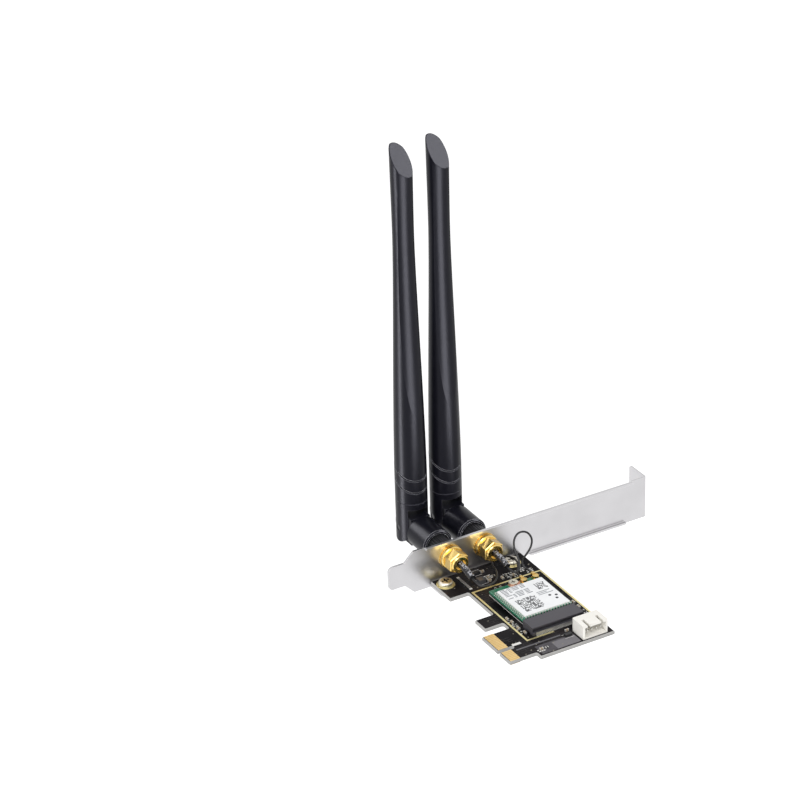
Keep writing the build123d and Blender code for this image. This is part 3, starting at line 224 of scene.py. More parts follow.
# Bright gold plate on turned brass: lathe rings along the axis catch the light
def turned_gold_plate():
    material, tree, shader, place = new_finish("turned_gold_plate", Metallic=1.0)
    cloud = grain(tree, place, 2.5 * MM)
    tree.links.new(tint(tree, cloud, linear("E2B95E"), linear("F4DA92")), shader.inputs["Base Color"])
    tree.links.new(between(tree, cloud, 0.16, 0.26), shader.inputs["Roughness"])
    # lathe rings 0.12 mm apart, drawn at 0.35 mm so that they show
    # a wave of scale 1 repeats every 0.31 m
    pitch = {"Vector": place, "Scale": 0.31 / (0.35 * MM)}
    rings = add(tree, "ShaderNodeTexWave", pitch, bands_direction="Y")
    relief(tree, shader, rings.outputs["Fac"], depth=0.012 * MM, strength=0.25, edge=0.1 * MM)
    return material


# Flat metal on the boards, gold plate or bare copper: softer and paler than the turned jacks
def flat_metal(name, dull, bright, rough):
    material, tree, shader, place = new_finish(name, Metallic=1.0)
    cloud = grain(tree, place, 2.0 * MM)
    tree.links.new(tint(tree, cloud, linear(dull), linear(bright)), shader.inputs["Base Color"])
    tree.links.new(between(tree, cloud, rough, rough + 0.1), shader.inputs["Roughness"])
    relief(tree, shader, grain(tree, place, 0.3 * MM), depth=0.01 * MM, strength=0.15, edge=0.03 * MM)
    return material


# Glass-fibre board with black solder mask: tracks show as faint ridges, sawn edges show pale glass
def black_solder_mask():
    material, tree, shader, place = new_finish("black_solder_mask", Metallic=0.0, IOR=1.5)
    shader.inputs["Specular IOR Level"].default_value = 0.04
    parts = add(tree, "ShaderNodeSeparateXYZ", {"Vector": place})
    # tracks about 0.25 mm wide and 1.3 mm apart, in patches
    tracks = add(tree, "ShaderNodeTexBrick", {"Vector": place, "Scale": 1.0}, offset=0.37)
    tracks.inputs["Brick Width"].default_value = 3.6 * MM
    tracks.inputs["Row Height"].default_value = 1.3 * MM
    tracks.inputs["Mortar Size"].default_value = 0.12 * MM
    patches = grain(tree, place, 7 * MM, detail=1)
    routed = add(tree, "ShaderNodeMath", {0: patches, 1: 0.52}, operation="GREATER_THAN")
    shown = {0: tracks.outputs["Fac"], 1: routed.outputs[0]}
    ridges = add(tree, "ShaderNodeMath", shown, operation="MULTIPLY").outputs[0]
    cloud = between(tree, grain(tree, place, 16 * MM, detail=1), 0, 1)
    mask = tint(tree, cloud, linear("0C0C0E"), linear("2B2829"))
    dark = tint(tree, ridges, mask, linear("3A383A"))
    # copper under the mask near the far edge makes it look grey there
    pour = inside(tree, parts, ((AXIS_X, 13.4 * MM, 30.6 * MM), (AXIS_Y, -10.2 * MM, -4.2 * MM)))
    speckle = grain(tree, place, 1.1 * MM, detail=3)
    pour_colour = tint(tree, speckle, linear("454347"), linear("626064"))
    solid_copper = inside(tree, parts, ((AXIS_X, 20.4 * MM, 30.6 * MM), (AXIS_Y, -9.9 * MM, -5.0 * MM)))
    pour_colour = tint(tree, solid_copper, pour_colour, linear("79777B"))
    poured = tint(tree, pour, dark, pour_colour)
    # one wide track runs beside the ground line
    wide_track = inside(tree, parts, ((AXIS_X, 6.4 * MM, 26.0 * MM), (AXIS_Y, -2.9 * MM, -2.1 * MM)))
    poured = tint(tree, wide_track, poured, linear("6A696C"))
    # no mask between the contacts: bare board with gold along each flank
    strip_low, strip_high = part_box("edge_contacts")
    strip_x = (AXIS_X, strip_low[AXIS_X], strip_high[AXIS_X])
    strip_y = (AXIS_Y, strip_low[AXIS_Y], strip_high[AXIS_Y])
    strip = inside(tree, parts, (strip_x, strip_y))
    poured = tint(tree, strip, poured, linear("D2AE6C"))
    # plated holes up to 0.6 mm wide, about 2.6 mm apart
    holes = add(tree, "ShaderNodeTexVoronoi", {"Vector": place, "Scale": 1 / (2.6 * MM)})
    spot = add(tree, "ShaderNodeMath", {0: holes.outputs["Distance"], 1: 0.11}, operation="LESS_THAN")
    face = tint(tree, spot.outputs[0], poured, linear("8C877A"))
    # a face that looks neither up nor down is a sawn edge
    own = add(tree, "ShaderNodeNewGeometry").outputs["Normal"]
    facing = add(tree, "ShaderNodeSeparateXYZ", {"Vector": own})
    flat = add(tree, "ShaderNodeMath", {0: facing.outputs["Z"]}, operation="ABSOLUTE")
    sawn = add(tree, "ShaderNodeMath", {0: flat.outputs[0], 1: 0.92}, operation="LESS_THAN")
    fibre = grain(tree, place, 0.35 * MM, stretch=(0.2, 0.2, 1), detail=3)
    glass = tint(tree, fibre, linear("A09F9D"), linear("B9B8B6"))
    tree.links.new(tint(tree, sawn.outputs[0], face, glass), shader.inputs["Base Color"])
    tree.links.new(between(tree, speckle, 0.16, 0.28), shader.inputs["Roughness"])
    relief(tree, shader, ridges, depth=0.035 * MM, strength=0.5, edge=0.05 * MM)
    return material


# Green solder mask of the radio module, glossy, with tracks under it
def green_solder_mask():
    material, tree, shader, place = new_finish("green_solder_mask", Metallic=0.0, IOR=1.5, Coat_Weight=0.3)
    # tracks about 0.15 mm wide and 0.7 mm apart
    tracks = add(tree, "ShaderNodeTexBrick", {"Vector": place, "Scale": 1.0}, offset=0.41)
    tracks.inputs["Brick Width"].default_value = 2.1 * MM
    tracks.inputs["Row Height"].default_value = 0.7 * MM
    tracks.inputs["Mortar Size"].default_value = 0.08 * MM
    green = tint(tree, tracks.outputs["Fac"], linear("0A5F42"), linear("1B8561"))
    # painted highlight: the colour is lighter along the routed edges
    edge_highlit_green = tint(tree, edge_highlight_mask(tree, 0.2 * MM), green, linear("8CC9B4"))
    tree.links.new(edge_highlit_green, shader.inputs["Base Color"])
    cloud = grain(tree, place, 1.5 * MM)
    tree.links.new(between(tree, cloud, 0.25, 0.38), shader.inputs["Roughness"])
    relief(tree, shader, tracks.outputs["Fac"], depth=0.02 * MM, strength=0.4, edge=0.05 * MM)
    return material


# White label film: smooth and slightly glossy, faintly uneven where it lies on the shield
def label_film():
    material, tree, shader, place = new_finish("label_film", Metallic=0.0, IOR=1.46)
    cloud = grain(tree, place, 5 * MM, detail=3)
    tree.links.new(tint(tree, cloud, linear("EDEFF1"), linear("F8F9FA")), shader.inputs["Base Color"])
    tree.links.new(between(tree, cloud, 0.35, 0.48), shader.inputs["Roughness"])
    relief(tree, shader, cloud, depth=0.02 * MM, strength=0.15, edge=0.03 * MM)
    return material


# Printing ink, matt, with slightly broken cover
def printing_ink(name, dark, light):
    material, tree, shader, place = new_finish(name, Metallic=0.0, IOR=1.45)
    cover = grain(tree, place, 0.25 * MM, detail=3)
    tree.links.new(tint(tree, cover, linear(dark), linear(light)), shader.inputs["Base Color"])
    tree.links.new(between(tree, cover, 0.5, 0.65), shader.inputs["Roughness"])
    return material


# Moulded nylon and epoxy: fine flow marks, satin, with painted shade deep in a slot
def moulded_casing(name, slot_shade, dark, light, rough):
    material, tree, shader, place = new_finish(name, Metallic=0.0, IOR=1.53)
    flow = grain(tree, place, 1.6 * MM, stretch=(0.4, 1, 1), detail=3)
    skin = tint(tree, flow, linear(dark), linear(light))
    lit = open_to_light(tree, 1.5 * MM)
    tree.links.new(tint(tree, lit, linear(slot_shade), skin), shader.inputs["Base Color"])
    tree.links.new(between(tree, flow, rough, rough + 0.12), shader.inputs["Roughness"])
    relief(tree, shader, grain(tree, place, 0.25 * MM), depth=0.02 * MM, strength=0.2, edge=0.12 * MM)
    return material


# Tin plate and solder: pale and dull, with a slightly lumpy skin and some oxide over the metal
def tin_plate():
    material, tree, shader, place = new_finish("tin_plate", Metallic=0.75)
    cloud = grain(tree, place, 0.5 * MM)
    tree.links.new(tint(tree, cloud, linear("C6C5C0"), linear("E4E3DF")), shader.inputs["Base Color"])
    tree.links.new(between(tree, cloud, 0.35, 0.5), shader.inputs["Roughness"])
    relief(tree, shader, cloud, depth=0.03 * MM, strength=0.4, edge=0.04 * MM)
    return material


# Fired ceramic, glaze and ferrite of the small parts: a fine, hard skin with half a gloss
def fired_ceramic(name, dark, light):
    material, tree, shader, place = new_finish(name, Metallic=0.0, IOR=1.6)
    cloud = grain(tree, place, 0.3 * MM, detail=3)
    tree.links.new(tint(tree, cloud, linear(dark), linear(light)), shader.inputs["Base Color"])
    tree.links.new(between(tree, cloud, 0.3, 0.45), shader.inputs["Roughness"])
    relief(tree, shader, cloud, depth=0.01 * MM, strength=0.3, edge=0.05 * MM)
    return material


# Shrunk sleeve: glossy black polyolefin that wrinkles a little along the crimp
def shrunk_sleeve():
    material, tree, shader, place = new_finish("shrunk_sleeve", Metallic=0.0, IOR=1.5)
    wrinkle = grain(tree, place, 0.8 * MM, stretch=(1, 0.6, 1), detail=3)
    ridge = between(tree, wrinkle, 0, 1)
    skin = tint(tree, ridge, linear("0B0B0D"), linear("26262A"))
    # painted highlight: broken pale flecks along the upper side, where the light falls
    own = add(tree, "ShaderNodeNewGeometry").outputs["Normal"]
    facing = add(tree, "ShaderNodeSeparateXYZ", {"Vector": own})
    upper = add(tree, "ShaderNodeMath", {0: facing.outputs["Z"], 1: 0.72}, operation="GREATER_THAN")
    flecks = grain(tree, place, 0.55 * MM, detail=1)
    broken = add(tree, "ShaderNodeMath", {0: flecks, 1: 0.53}, operation="GREATER_THAN")
    marked = {0: upper.outputs[0], 1: broken.outputs[0]}
    sheen_flecks = add(tree, "ShaderNodeMath", marked, operation="MULTIPLY").outputs[0]
    tree.links.new(tint(tree, sheen_flecks, skin, linear("A9A9AE")), shader.inputs["Base Color"])
    tree.links.new(between(tree, wrinkle, 0.3, 0.16), shader.inputs["Roughness"])
    relief(tree, shader, wrinkle, depth=0.25 * MM, strength=0.8, edge=0.1 * MM)
    return material


# Extruded lead jacket: smooth, with a soft sheen
def lead_jacket():
    material, tree, shader, place = new_finish("lead_jacket", Metallic=0.0, IOR=1.5)
    draw = grain(tree, place, 0.7 * MM)
    tree.links.new(tint(tree, draw, linear("121214"), linear("1C1C1F")), shader.inputs["Base Color"])
    tree.links.new(between(tree, draw, 0.3, 0.4), shader.inputs["Roughness"])
    relief(tree, shader, draw, depth=0.01 * MM, strength=0.2, edge=0.05 * MM)
    return material


PLASTIC = moulded_black_plastic()
BLACK_PLATE = black_plated_brass()
SHEET = nickel_sheet()
SCREW = nickel_screw()
JACK_GOLD = turned_gold_plate()
CONTACT_GOLD = flat_metal("contact_gold", "EDC983", "F8E0AC", 0.4)
LAND_GOLD = flat_metal("land_gold", "E6D898", "F3EABC", 0.34)
CONNECTOR_GOLD = flat_metal("connector_gold", "D0A95C", "E8CE8E", 0.22)
COPPER = flat_metal("bare_copper", "D79A84", "E9BBA8", 0.35)
BOARD = black_solder_mask()
MODULE = green_solder_mask()
FILM = label_film()
TIN = tin_plate()
# the first colour of each moulded casing is its painted shade deep in a slot
SOCKET = moulded_casing("socket_nylon", "0A0A0C", "3C3A40", "4B494F", 0.42)
HEADER = moulded_casing("header_nylon", "A8A49B", "EEEBE3", "F8F6F1", 0.36)
EPOXY = moulded_casing("chip_epoxy", "0E0E10", "151517", "222225", 0.45)
CERAMIC = fired_ceramic("capacitor_ceramic", "8D7A62", "B4A48D")
GLAZE = fired_ceramic("resistor_glaze", "151517", "26262A")
FERRITE = fired_ceramic("inductor_ferrite", "3A3A3D", "4C4C50")
SLEEVE = shrunk_sleeve()
JACKET = lead_jacket()
GREY_INK = printing_ink("grey_ink", "7E8186", "A8ABB0")
BLACK_INK = printing_ink("black_ink", "232427", "424448")
WHITE_INK = printing_ink("white_ink", "D6D4D0", "EFEDE9")

# Finish of each CAD node; a piece that comes once for each antenna is named without its side
FINISHES = {
    "bracket": SHEET,
    "bracket_screws": SCREW,
    "screw_lands": LAND_GOLD,
    "main_board": BOARD,
    "edge_contacts": CONTACT_GOLD,
    "ground_frame": LAND_GOLD,
    "module_socket": SOCKET,
    "socket_tails": TIN,
    "module_board": MODULE,
    "module_land": COPPER,
    "module_shield": TIN,
    "module_label": FILM,
    "module_standoff": CONNECTOR_GOLD,
    "module_screw": SCREW,
    "cable_header": HEADER,
    "header_pins": TIN,
    "chip_capacitors": CERAMIC,
    "chip_resistors": GLAZE,
    "regulators": EPOXY,
    "power_inductor": FERRITE,
    "coax_receptacles": CONNECTOR_GOLD,
    "jack": JACK_GOLD,
    "lock_washer": JACK_GOLD,
    "inner_nut": JACK_GOLD,
    "panel_nut": JACK_GOLD,
    "sleeve": SLEEVE,
    "mini_plug": CONNECTOR_GOLD,
    "coupling_nut": BLACK_PLATE,
    "antenna_plug": CONNECTOR_GOLD,
    "swivel_base": PLASTIC,
    "hinge_pin": BLACK_PLATE,
    "fork": PLASTIC,
    "band": PLASTIC,
    "radome": PLASTIC,
    "lead": JACKET,
}
for name, piece in NODES.items():
    finish = FINISHES.get(name) or FINISHES[name.split("_", 1)[1]]
    for surface in piece.material_slots:
        surface.material = finish


def corners(name):
    """Lowest and highest corner of a CAD node."""
    low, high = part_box(name)
    return Vector(low), Vector(high)


def piece_from(mesh, name, finish):
    """Make a mesh into a piece that rides on the card."""
    data = bpy.data.meshes.new(name)
    mesh.to_mesh(data)
    mesh.free()
    data.materials.append(finish)
    piece = bpy.data.objects.new(name, data)
    bpy.context.scene.collection.objects.link(piece)
    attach(piece, "card")
    return piece


def block(mesh, low, high):
    """Add one block between two corners to a mesh."""
    low, high = Vector(low), Vector(high)
    size = high - low
    middle = (low + high) / 2
    turned = Matrix.Translation(middle) @ Matrix.Diagonal((*size, 1))
    bmesh.ops.create_cube(mesh, size=1, matrix=turned)


# Coaxial leads: the route's points, in millimetres, are the control points of one smooth line
LEAD_WIDTH = 0.81 * MM
LEAD_ROUTES = {
    "left": [
        (12.7, 39.95, 7.5),
        (12.7, 35.6, 6.36),
        (16.0, 33.6, 6.1),
        (20.4, 35.5, 5.7),
        (23.9, 39.6, 5.2),
        (26.3, 44.8, 4.4),
        (27.5, 50.0, 3.5),
        (30.1, 53.6, 3.2),
        (34.6, 53.5, 3.5),
        (36.9, 49.6, 4.3),
        (36.2, 44.3, 4.7),
        (33.9, 40.9, 4.2),
        (32.2, 38.9, 3.63),
        (32.2, 36.25, 3.63),
    ],
    "right": [
        (28.5, 39.95, 7.5),
        (28.5, 36.95, 6.71),
        (30.1, 34.8, 7.2),
        (31.4, 34.9, 9.4),
        (31.7, 36.9, 12.2),
        (31.4, 39.4, 14.9),
        (32.2, 41.0, 18.1),
        (35.0, 42.0, 20.1),
        (38.9, 42.0, 19.2),
        (41.0, 41.4, 15.8),
        (40.3, 41.0, 12.4),
        (38.3, 41.2, 9.5),
        (36.3, 42.1, 6.7),
        (36.4, 41.0, 4.4),
        (37.5, 38.9, 3.63),
        (37.5, 36.25, 3.63),
    ],
}
for side, route in LEAD_ROUTES.items():
    curve = bpy.data.curves.new(f"{side}_coax_lead", "CURVE")
    curve.dimensions = "3D"
    curve.bevel_depth = LEAD_WIDTH / 2
    curve.bevel_resolution = 4
    curve.resolution_u = 12
    curve.use_fill_caps = True
    line = curve.splines.new("NURBS")
    line.points.add(len(route) - 1)
    for point, spot in zip(line.points, route):
        point.co = (*[value * MM for value in spot], 1.0)
    line.order_u = 3
    line.use_endpoint_u = True
    curve.materials.append(JACKET)
    lead = bpy.data.objects.new(f"{side}_coax_lead", curve)
    bpy.context.scene.collection.objects.link(lead)
    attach(lead, "card")
    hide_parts(f"{side}_lead")


def islands(name):
    """Lowest and highest corner of each separate solid in a CAD node."""
    mesh = bmesh.new()
    mesh.from_mesh(NODES[name].data)
    bmesh.ops.remove_doubles(mesh, verts=mesh.verts, dist=0.001 * MM)
    seen = set()
    boxes = []
    for start in mesh.verts:
        if start in seen:
            continue
        queue = [start]
        found = []
        while queue:
            vert = queue.pop()
            if vert in seen:
                continue
            seen.add(vert)
            found.append(vert.co.copy())
            queue += [edge.other_vert(vert) for edge in vert.link_edges]
        low = Vector([min(each[axis] for each in found) for axis in range(3)])
        high = Vector([max(each[axis] for each in found) for axis in range(3)])
        boxes.append((low, high))
    mesh.free()
    return boxes


# Tinned ends on the chip parts, and the solder that meets the board
END_LENGTH = 0.34 * MM
END_PROUD = 0.02 * MM
for parts_name in ("chip_capacitors", "chip_resistors"):
    ends = bmesh.new()
    for low, high in islands(parts_name):
        along = 0 if high.x - low.x > high.y - low.y else 1
        for edge, inward in ((low, 1), (high, -1)):
            near = Vector((low.x - END_PROUD, low.y - END_PROUD, 0))
            far = Vector((high.x + END_PROUD, high.y + END_PROUD, high.z + END_PROUD))
            if inward > 0:
                far[along] = edge[along] + END_LENGTH
            else:
                near[along] = edge[along] - END_LENGTH
            block(ends, near, far)
    piece_from(ends, f"{parts_name}_ends", TIN)


# Print on the module's label: rows of plain grey bars, some left out and some cut short by a plain rule
INK = 0.012 * MM
ROW_PITCH = 0.95 * MM
BAR = 0.5 * MM
THIN_BAR = 0.42 * MM
BAR_ROWS = 8
BARS_LEFT = 19.6
BARS_NEAR = 30.7 * MM
SINGLES_LEFT = 31.0
SINGLES_NEAR = 22.4 * MM
# where each bar of a row starts and how long it is, and where the single bars end, in millimetres
BARS = ((0.0, 2.6), (3.0, 1.3), (4.7, 3.3), (8.4, 2.4))
SINGLE_ENDS = (36.8, 35.2, 37.4)
ink_floor = corners("module_label")[1].z
ink_top = ink_floor + INK
grey_print = bmesh.new()
for row in range(BAR_ROWS):
    row_y = BARS_NEAR - row * ROW_PITCH
    for start, length in BARS:
        if (row * 3 + int(start * 2)) % 7 == 4:
            continue
        cut = 0.75 + 0.25 * ((row * 7 + int(start * 5)) % 4) / 3
        left = (BARS_LEFT + start) * MM
        right = left + length * cut * MM
        block(grey_print, (left, row_y, ink_floor), (right, row_y + BAR, ink_top))
for row, end in enumerate(SINGLE_ENDS):
    row_y = SINGLES_NEAR - row * ROW_PITCH
    block(grey_print, (SINGLES_LEFT * MM, row_y, ink_floor), (end * MM, row_y + THIN_BAR, ink_top))
piece_from(grey_print, "label_grey_bars", GREY_INK)

# Two fields of short bars, left out here and there by a plain rule, and three dots. A field is given by its
# left and far edge, its columns, its rows and their pitch, and a dot by its middle, all in millimetres
FIELDS = ((20.8, 13.0, 20, 21, 0.43), (33.3, 24.2, 11, 12, 0.38))
BAR_SHARE = 0.8
DOTS = ((34.6, 18.6), (36.9, 17.6), (36.0, 15.6))
DOT_RADIUS = 0.6 * MM
dark_print = bmesh.new()
for left, far, columns, rows, pitch in FIELDS:
    for column in range(columns):
        for row in range(rows):
            if (row * row * 3 + column * column * 5 + row * column * 7 + row * 4) % 13 > 7:
                continue
            corner = Vector(((left + column * pitch) * MM, (far + row * pitch) * MM, ink_floor))
            block(dark_print, corner, corner + Vector((pitch * MM, pitch * BAR_SHARE * MM, INK)))
for dot_x, dot_y in DOTS:
    bmesh.ops.create_cone(
        dark_print,
        cap_ends=True,
        segments=24,
        radius1=DOT_RADIUS,
        radius2=DOT_RADIUS,
        depth=INK,
        matrix=Matrix.Translation((dot_x * MM, dot_y * MM, ink_floor + INK / 2)),
    )
piece_from(dark_print, "label_dark_bars", BLACK_INK)


# Radio sub-board around the shield's foot, with a castellated pad at each step along its open edges
module_low, module_high = corners("module_board")
shield_low, shield_high = corners("module_shield")
socket_low, socket_high = corners("module_socket")
RIM = 0.5 * MM
NARROW_RIM = 0.1 * MM
RIM_DROP = 0.25 * MM
RIM_TOP = shield_high.z - RIM_DROP
rim = bmesh.new()
rim_low = Vector((shield_low.x - RIM, shield_low.y - RIM, module_high.z))
rim_high = Vector((shield_high.x + NARROW_RIM, shield_high.y + NARROW_RIM, RIM_TOP))
block(rim, rim_low, (shield_low.x, rim_high.y, RIM_TOP))
block(rim, (shield_high.x, rim_low.y, module_high.z), rim_high)
block(rim, (shield_low.x, rim_low.y, module_high.z), (shield_high.x, shield_low.y, RIM_TOP))
block(rim, (shield_low.x, shield_high.y, module_high.z), (shield_high.x, rim_high.y, RIM_TOP))
piece_from(rim, "radio_sub_board", MODULE)

pads = bmesh.new()
PAD_PITCH = 1.25 * MM
PAD = 0.7 * MM
PAD_PROUD = 0.04 * MM
PAD_DEPTH = 0.3 * MM
EDGE_PAD_START = 0.08 * MM
EDGE_PAD_END = 0.35 * MM
pad_y = shield_high.y - PAD
while pad_y > shield_low.y:
    block(
        pads,
        (rim_low.x - PAD_PROUD, pad_y, module_high.z),
        (rim_low.x + PAD_DEPTH, pad_y + PAD, RIM_TOP + PAD_PROUD),
    )
    block(
        pads,
        (module_low.x + EDGE_PAD_START, pad_y, module_high.z),
        (module_low.x + EDGE_PAD_END, pad_y + PAD, module_high.z + INK),
    )
    pad_y -= PAD_PITCH
pad_x = shield_low.x
while pad_x < shield_high.x - PAD:
    block(
        pads,
        (pad_x, rim_low.y - PAD_PROUD, module_high.z),
        (pad_x + PAD, rim_low.y + PAD_DEPTH, RIM_TOP + PAD_PROUD),
    )
    pad_x += PAD_PITCH
piece_from(pads, "module_pads", TIN)

# Module socket: floor, set-back core and end walls under a thin roof, open at the back for the module
SOCKET_TOP = 3.3 * MM
FLOOR_TOP = 1.3 * MM
ROOF_FOOT = 2.75 * MM
END_WALL = 0.4 * MM
ROOF_SETBACK = 0.6 * MM
END_SETBACK = 0.9 * MM
CORE_SETBACK = 1.6 * MM
body = bmesh.new()
block(body, socket_low, (socket_high.x, socket_high.y, FLOOR_TOP))
block(
    body,
    (socket_low.x + END_WALL, socket_low.y + CORE_SETBACK, FLOOR_TOP),
    (socket_high.x - END_WALL, module_low.y, ROOF_FOOT),
)
for wall_x in (socket_low.x, socket_high.x - END_WALL):
    block(
        body,
        (wall_x, socket_low.y + END_SETBACK, FLOOR_TOP),
        (wall_x + END_WALL, socket_high.y, ROOF_FOOT),
    )
roof_low = Vector((socket_low.x, socket_low.y + ROOF_SETBACK, ROOF_FOOT))
block(body, roof_low, (socket_high.x, socket_high.y, SOCKET_TOP))
socket = piece_from(body, "edge_socket", SOCKET)
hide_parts("module_socket")

# Tinned contact legs down the front of the socket, each above its solder tail
legs = bmesh.new()
tails_low, tails_high = corners("socket_tails")
LEG_PITCH = 0.5 * MM
LEG = 0.28 * MM
LEG_PROUD = 0.08 * MM
LEG_SUNK = 0.1 * MM
LEG_FOOT = 0.1 * MM
LEG_RISE = 0.05 * MM
leg_x = tails_low.x
while leg_x < tails_high.x:
    block(
        legs,
        (leg_x, socket_low.y - LEG_PROUD, LEG_FOOT),
        (leg_x + LEG, socket_low.y + LEG_SUNK, FLOOR_TOP + LEG_RISE),
    )
    leg_x += LEG_PITCH
piece_from(legs, "socket_legs", TIN)

# Solder lands beside the chip parts: a grid near the coaxial plugs and a column on each side of the module
LAND = Vector((0.6 * MM, 0.6 * MM, 0.12 * MM))
land_places = []
for column in range(5):
    for row in range(4):
        # a few places of the grid stay empty
        if (column * 3 + row * 5) % 7 != 3:
            land_places.append((31.3 + column * 1.05, 42.1 + row * 1.15))
land_places += [(13.65 + 0.75 * (row % 2), 5.6 + row * 1.55) for row in range(8)]
land_places += [(41.6, 10.2 + row * 1.4) for row in range(6)]
lands = bmesh.new()
for land_x, land_y in land_places:
    corner = Vector((land_x * MM, land_y * MM, 0))
    block(lands, corner, corner + LAND)
piece_from(lands, "solder_lands", TIN)


# White silkscreen on the main board: lines, bars and groups of dashes, in millimetres
silk = bmesh.new()


def silk_line(x_from, y_from, x_to, y_to, width):
    """One printed line or bar between two points, wider than they are by half its width all round."""
    half = width / 2
    block(
        silk,
        ((min(x_from, x_to) - half) * MM, (min(y_from, y_to) - half) * MM, 0),
        ((max(x_from, x_to) + half) * MM, (max(y_from, y_to) + half) * MM, INK),
    )


# line beside the module, towards the contacts
silk_line(18.0, 36.2, 18.0, 3.4, 0.35)
# heavy bar beside the left sleeve, of strokes that meet
for stroke in range(9):
    silk_line(14.3, 53.6 - stroke * 1.1, 14.3, 52.9 - stroke * 1.1, 1.2)
# groups of short dashes beside the parts, each given by its first dash and its number of rows
DASH_GROUPS = ((21.6, 54.6, 3), (23.4, 48.9, 3), (37.6, 46.6, 3), (39.6, 44.6, 3), (13.1, -7.1, 2))
DASH_PITCH = 1.0
ROW_SHIFT = 0.3
DASH = 0.2
DASH_WIDTH = 0.55
for group_x, group_y, rows in DASH_GROUPS:
    for row in range(rows):
        dash_y = group_y - row * DASH_PITCH
        for dash in range(3):
            dash_x = group_x + dash * DASH_PITCH + ROW_SHIFT * (row % 2)
            silk_line(dash_x, dash_y, dash_x + DASH, dash_y, DASH_WIDTH)
# short bar behind the contacts
silk_line(6.9, 0.5, 10.4, 1.6, 0.25)
# a thin line along two sides of each larger part
PART_MARGIN = 0.5
THIN_LINE = 0.15
for part in ("regulators", "power_inductor"):
    for low, high in islands(part):
        left = low.x / MM - PART_MARGIN
        right = high.x / MM + PART_MARGIN
        for line_y in (high.y / MM + PART_MARGIN, low.y / MM - PART_MARGIN):
            silk_line(left, line_y, right, line_y, THIN_LINE)
piece_from(silk, "board_silkscreen", WHITE_INK)


# Camera at the photo's angle: its place, the picture's directions, and sensor and lens in millimetres
CAMERA_PLACE = Vector((-472.68, -791.29, 603.28)) * MM
PICTURE_RIGHT = Vector((0.86865, -0.49455, -0.02935))
PICTURE_UP = Vector((0.25655, 0.39836, 0.88062))
PICTURE_BACK = Vector((-0.42382, -0.77248, 0.47291))
SENSOR_WIDTH = 36.0
FOCAL_LENGTH = 131.27
lens = bpy.data.cameras.new("camera")
lens.sensor_width = SENSOR_WIDTH
lens.lens = FOCAL_LENGTH
lens.clip_start = 0.05
lens.clip_end = 20.0
camera = bpy.data.objects.new("camera", lens)
bpy.context.scene.collection.objects.link(camera)
turn = Matrix((PICTURE_RIGHT, PICTURE_UP, PICTURE_BACK)).transposed().to_4x4()
camera.matrix_world = Matrix.Translation(CAMERA_PLACE) @ turn
bpy.context.scene.camera = camera


def seen_by_eye(tree):
    """1 for a ray from the eye, straight, off a mirror or through glass, and 0 for light on a surface."""
    path = add(tree, "ShaderNodeLightPath").outputs
    mirrored = {0: path["Is Camera Ray"], 1: path["Is Glossy Ray"]}
    seen = {0: add(tree, "ShaderNodeMath", mirrored, operation="MAXIMUM").outputs[0]}
    seen[1] = path["Is Transmission Ray"]
    return add(tree, "ShaderNodeMath", seen, operation="MAXIMUM").outputs[0]


# Pale floor, well below the card, which floats in the photo; a glow that only the eye sees makes it white
FLOOR_REACH = 8.0
FLOOR_HEIGHT = -0.5
FLOOR_GLOW = 0.42
FLOOR_CORNERS = ((-1, -1), (1, -1), (1, 1), (-1, 1))
floor_mesh = bpy.data.meshes.new("floor")
floor_points = [(x * FLOOR_REACH, y * FLOOR_REACH, FLOOR_HEIGHT) for x, y in FLOOR_CORNERS]
floor_mesh.from_pydata(floor_points, [], [(0, 1, 2, 3)])
floor = bpy.data.objects.new("floor", floor_mesh)
bpy.context.scene.collection.objects.link(floor)
floor_finish, floor_tree, floor_shader = new_finish("pale_floor", Roughness=0.8)[:3]
floor_shader.inputs["Base Color"].default_value = linear("F4F4F4")
floor_shader.inputs["Emission Color"].default_value = linear("FFFFFF")
lift = add(floor_tree, "ShaderNodeMath", {0: seen_by_eye(floor_tree), 1: FLOOR_GLOW}, operation="MULTIPLY")
floor_tree.links.new(lift.outputs[0], floor_shader.inputs["Emission Strength"])
floor_mesh.materials.append(floor_finish)

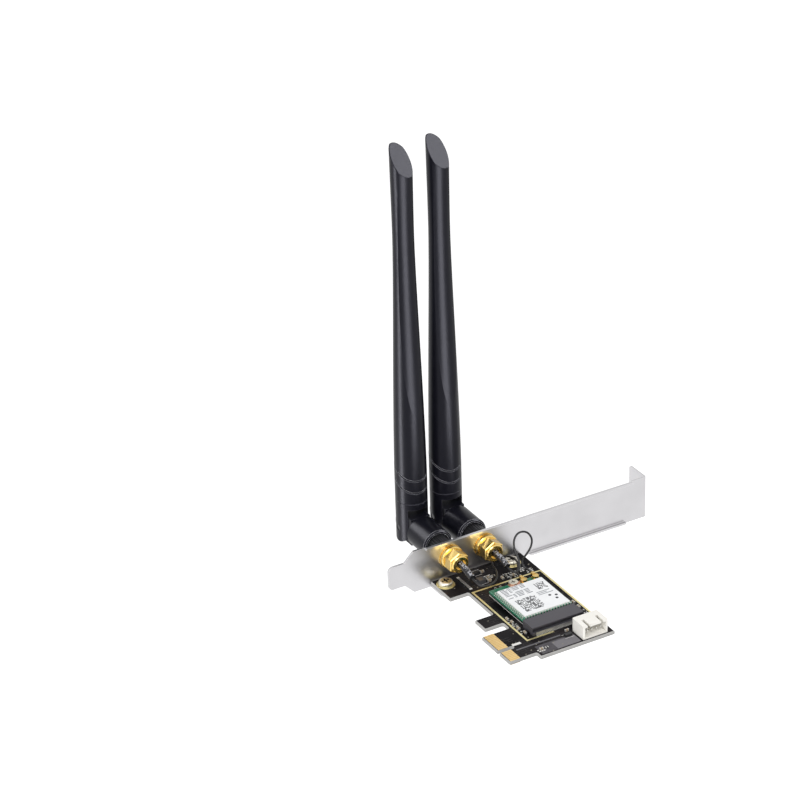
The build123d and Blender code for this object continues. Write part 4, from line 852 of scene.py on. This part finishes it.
# Soft studio light: an even room that looks white to the eye, a wide light in front and above, one on the
# left, and four lights that only the antennas show
ROOM_LEVEL = 0.7
ROOM_GLOW = 0.3
world = bpy.data.worlds.new("studio")
world.use_nodes = True
room = world.node_tree
room.nodes["Background"].inputs["Color"].default_value = linear("FFFFFF")
shown = {0: seen_by_eye(room), 1: ROOM_GLOW, 2: ROOM_LEVEL}
level = add(room, "ShaderNodeMath", shown, operation="MULTIPLY_ADD")
room.links.new(level.outputs[0], room.nodes["Background"].inputs["Strength"])
bpy.context.scene.world = world


# The plastic pieces of the antennas, which alone show the flagged lights
antennas = bpy.data.collections.new("antennas")
for piece in NODES.values():
    if piece.material_slots[0].material == PLASTIC:
        antennas.objects.link(piece)


def soft_light(name, place, aim, width, height, power, flagged=False):
    """A soft light at a place, pointed at another; a flagged one shows only as sheen on the antennas."""
    lamp = bpy.data.lights.new(name, "AREA")
    lamp.shape = "RECTANGLE"
    lamp.size = width
    lamp.size_y = height
    lamp.energy = power
    stand = bpy.data.objects.new(name, lamp)
    stand.location = place
    stand.visible_diffuse = not flagged
    if flagged:
        stand.light_linking.receiver_collection = antennas
    direction = Vector(aim) - Vector(place)
    stand.rotation_euler = direction.to_track_quat("-Z", "Y").to_euler()
    bpy.context.scene.collection.objects.link(stand)


soft_light("front_above", (-0.35, -0.65, 0.95), (0.03, 0.05, 0.03), 0.6, 0.6, 5.4)
soft_light("left_fill", (-0.95, -0.3, 0.35), (0.03, 0.03, 0.0), 0.8, 0.8, 3.6)
soft_light("knuckle_light", (-0.39, 0.77, 0.375), (0.02, 0.08, 0.01), 0.5, 0.4, 5.5, flagged=True)
soft_light("left_strip", (-0.48, 0.13, -0.16), (0.02, 0.087, -0.16), 0.18, 0.52, 4.6, flagged=True)
soft_light("front_strip", (0.072, -0.41, -0.16), (0.02, 0.087, -0.16), 0.27, 0.52, 5.6, flagged=True)
soft_light("tip_light", (0.67, -0.29, 0.44), (0.02, 0.087, 0.165), 0.35, 0.35, 6.5, flagged=True)

bpy.context.scene.view_settings.view_transform = "Standard"
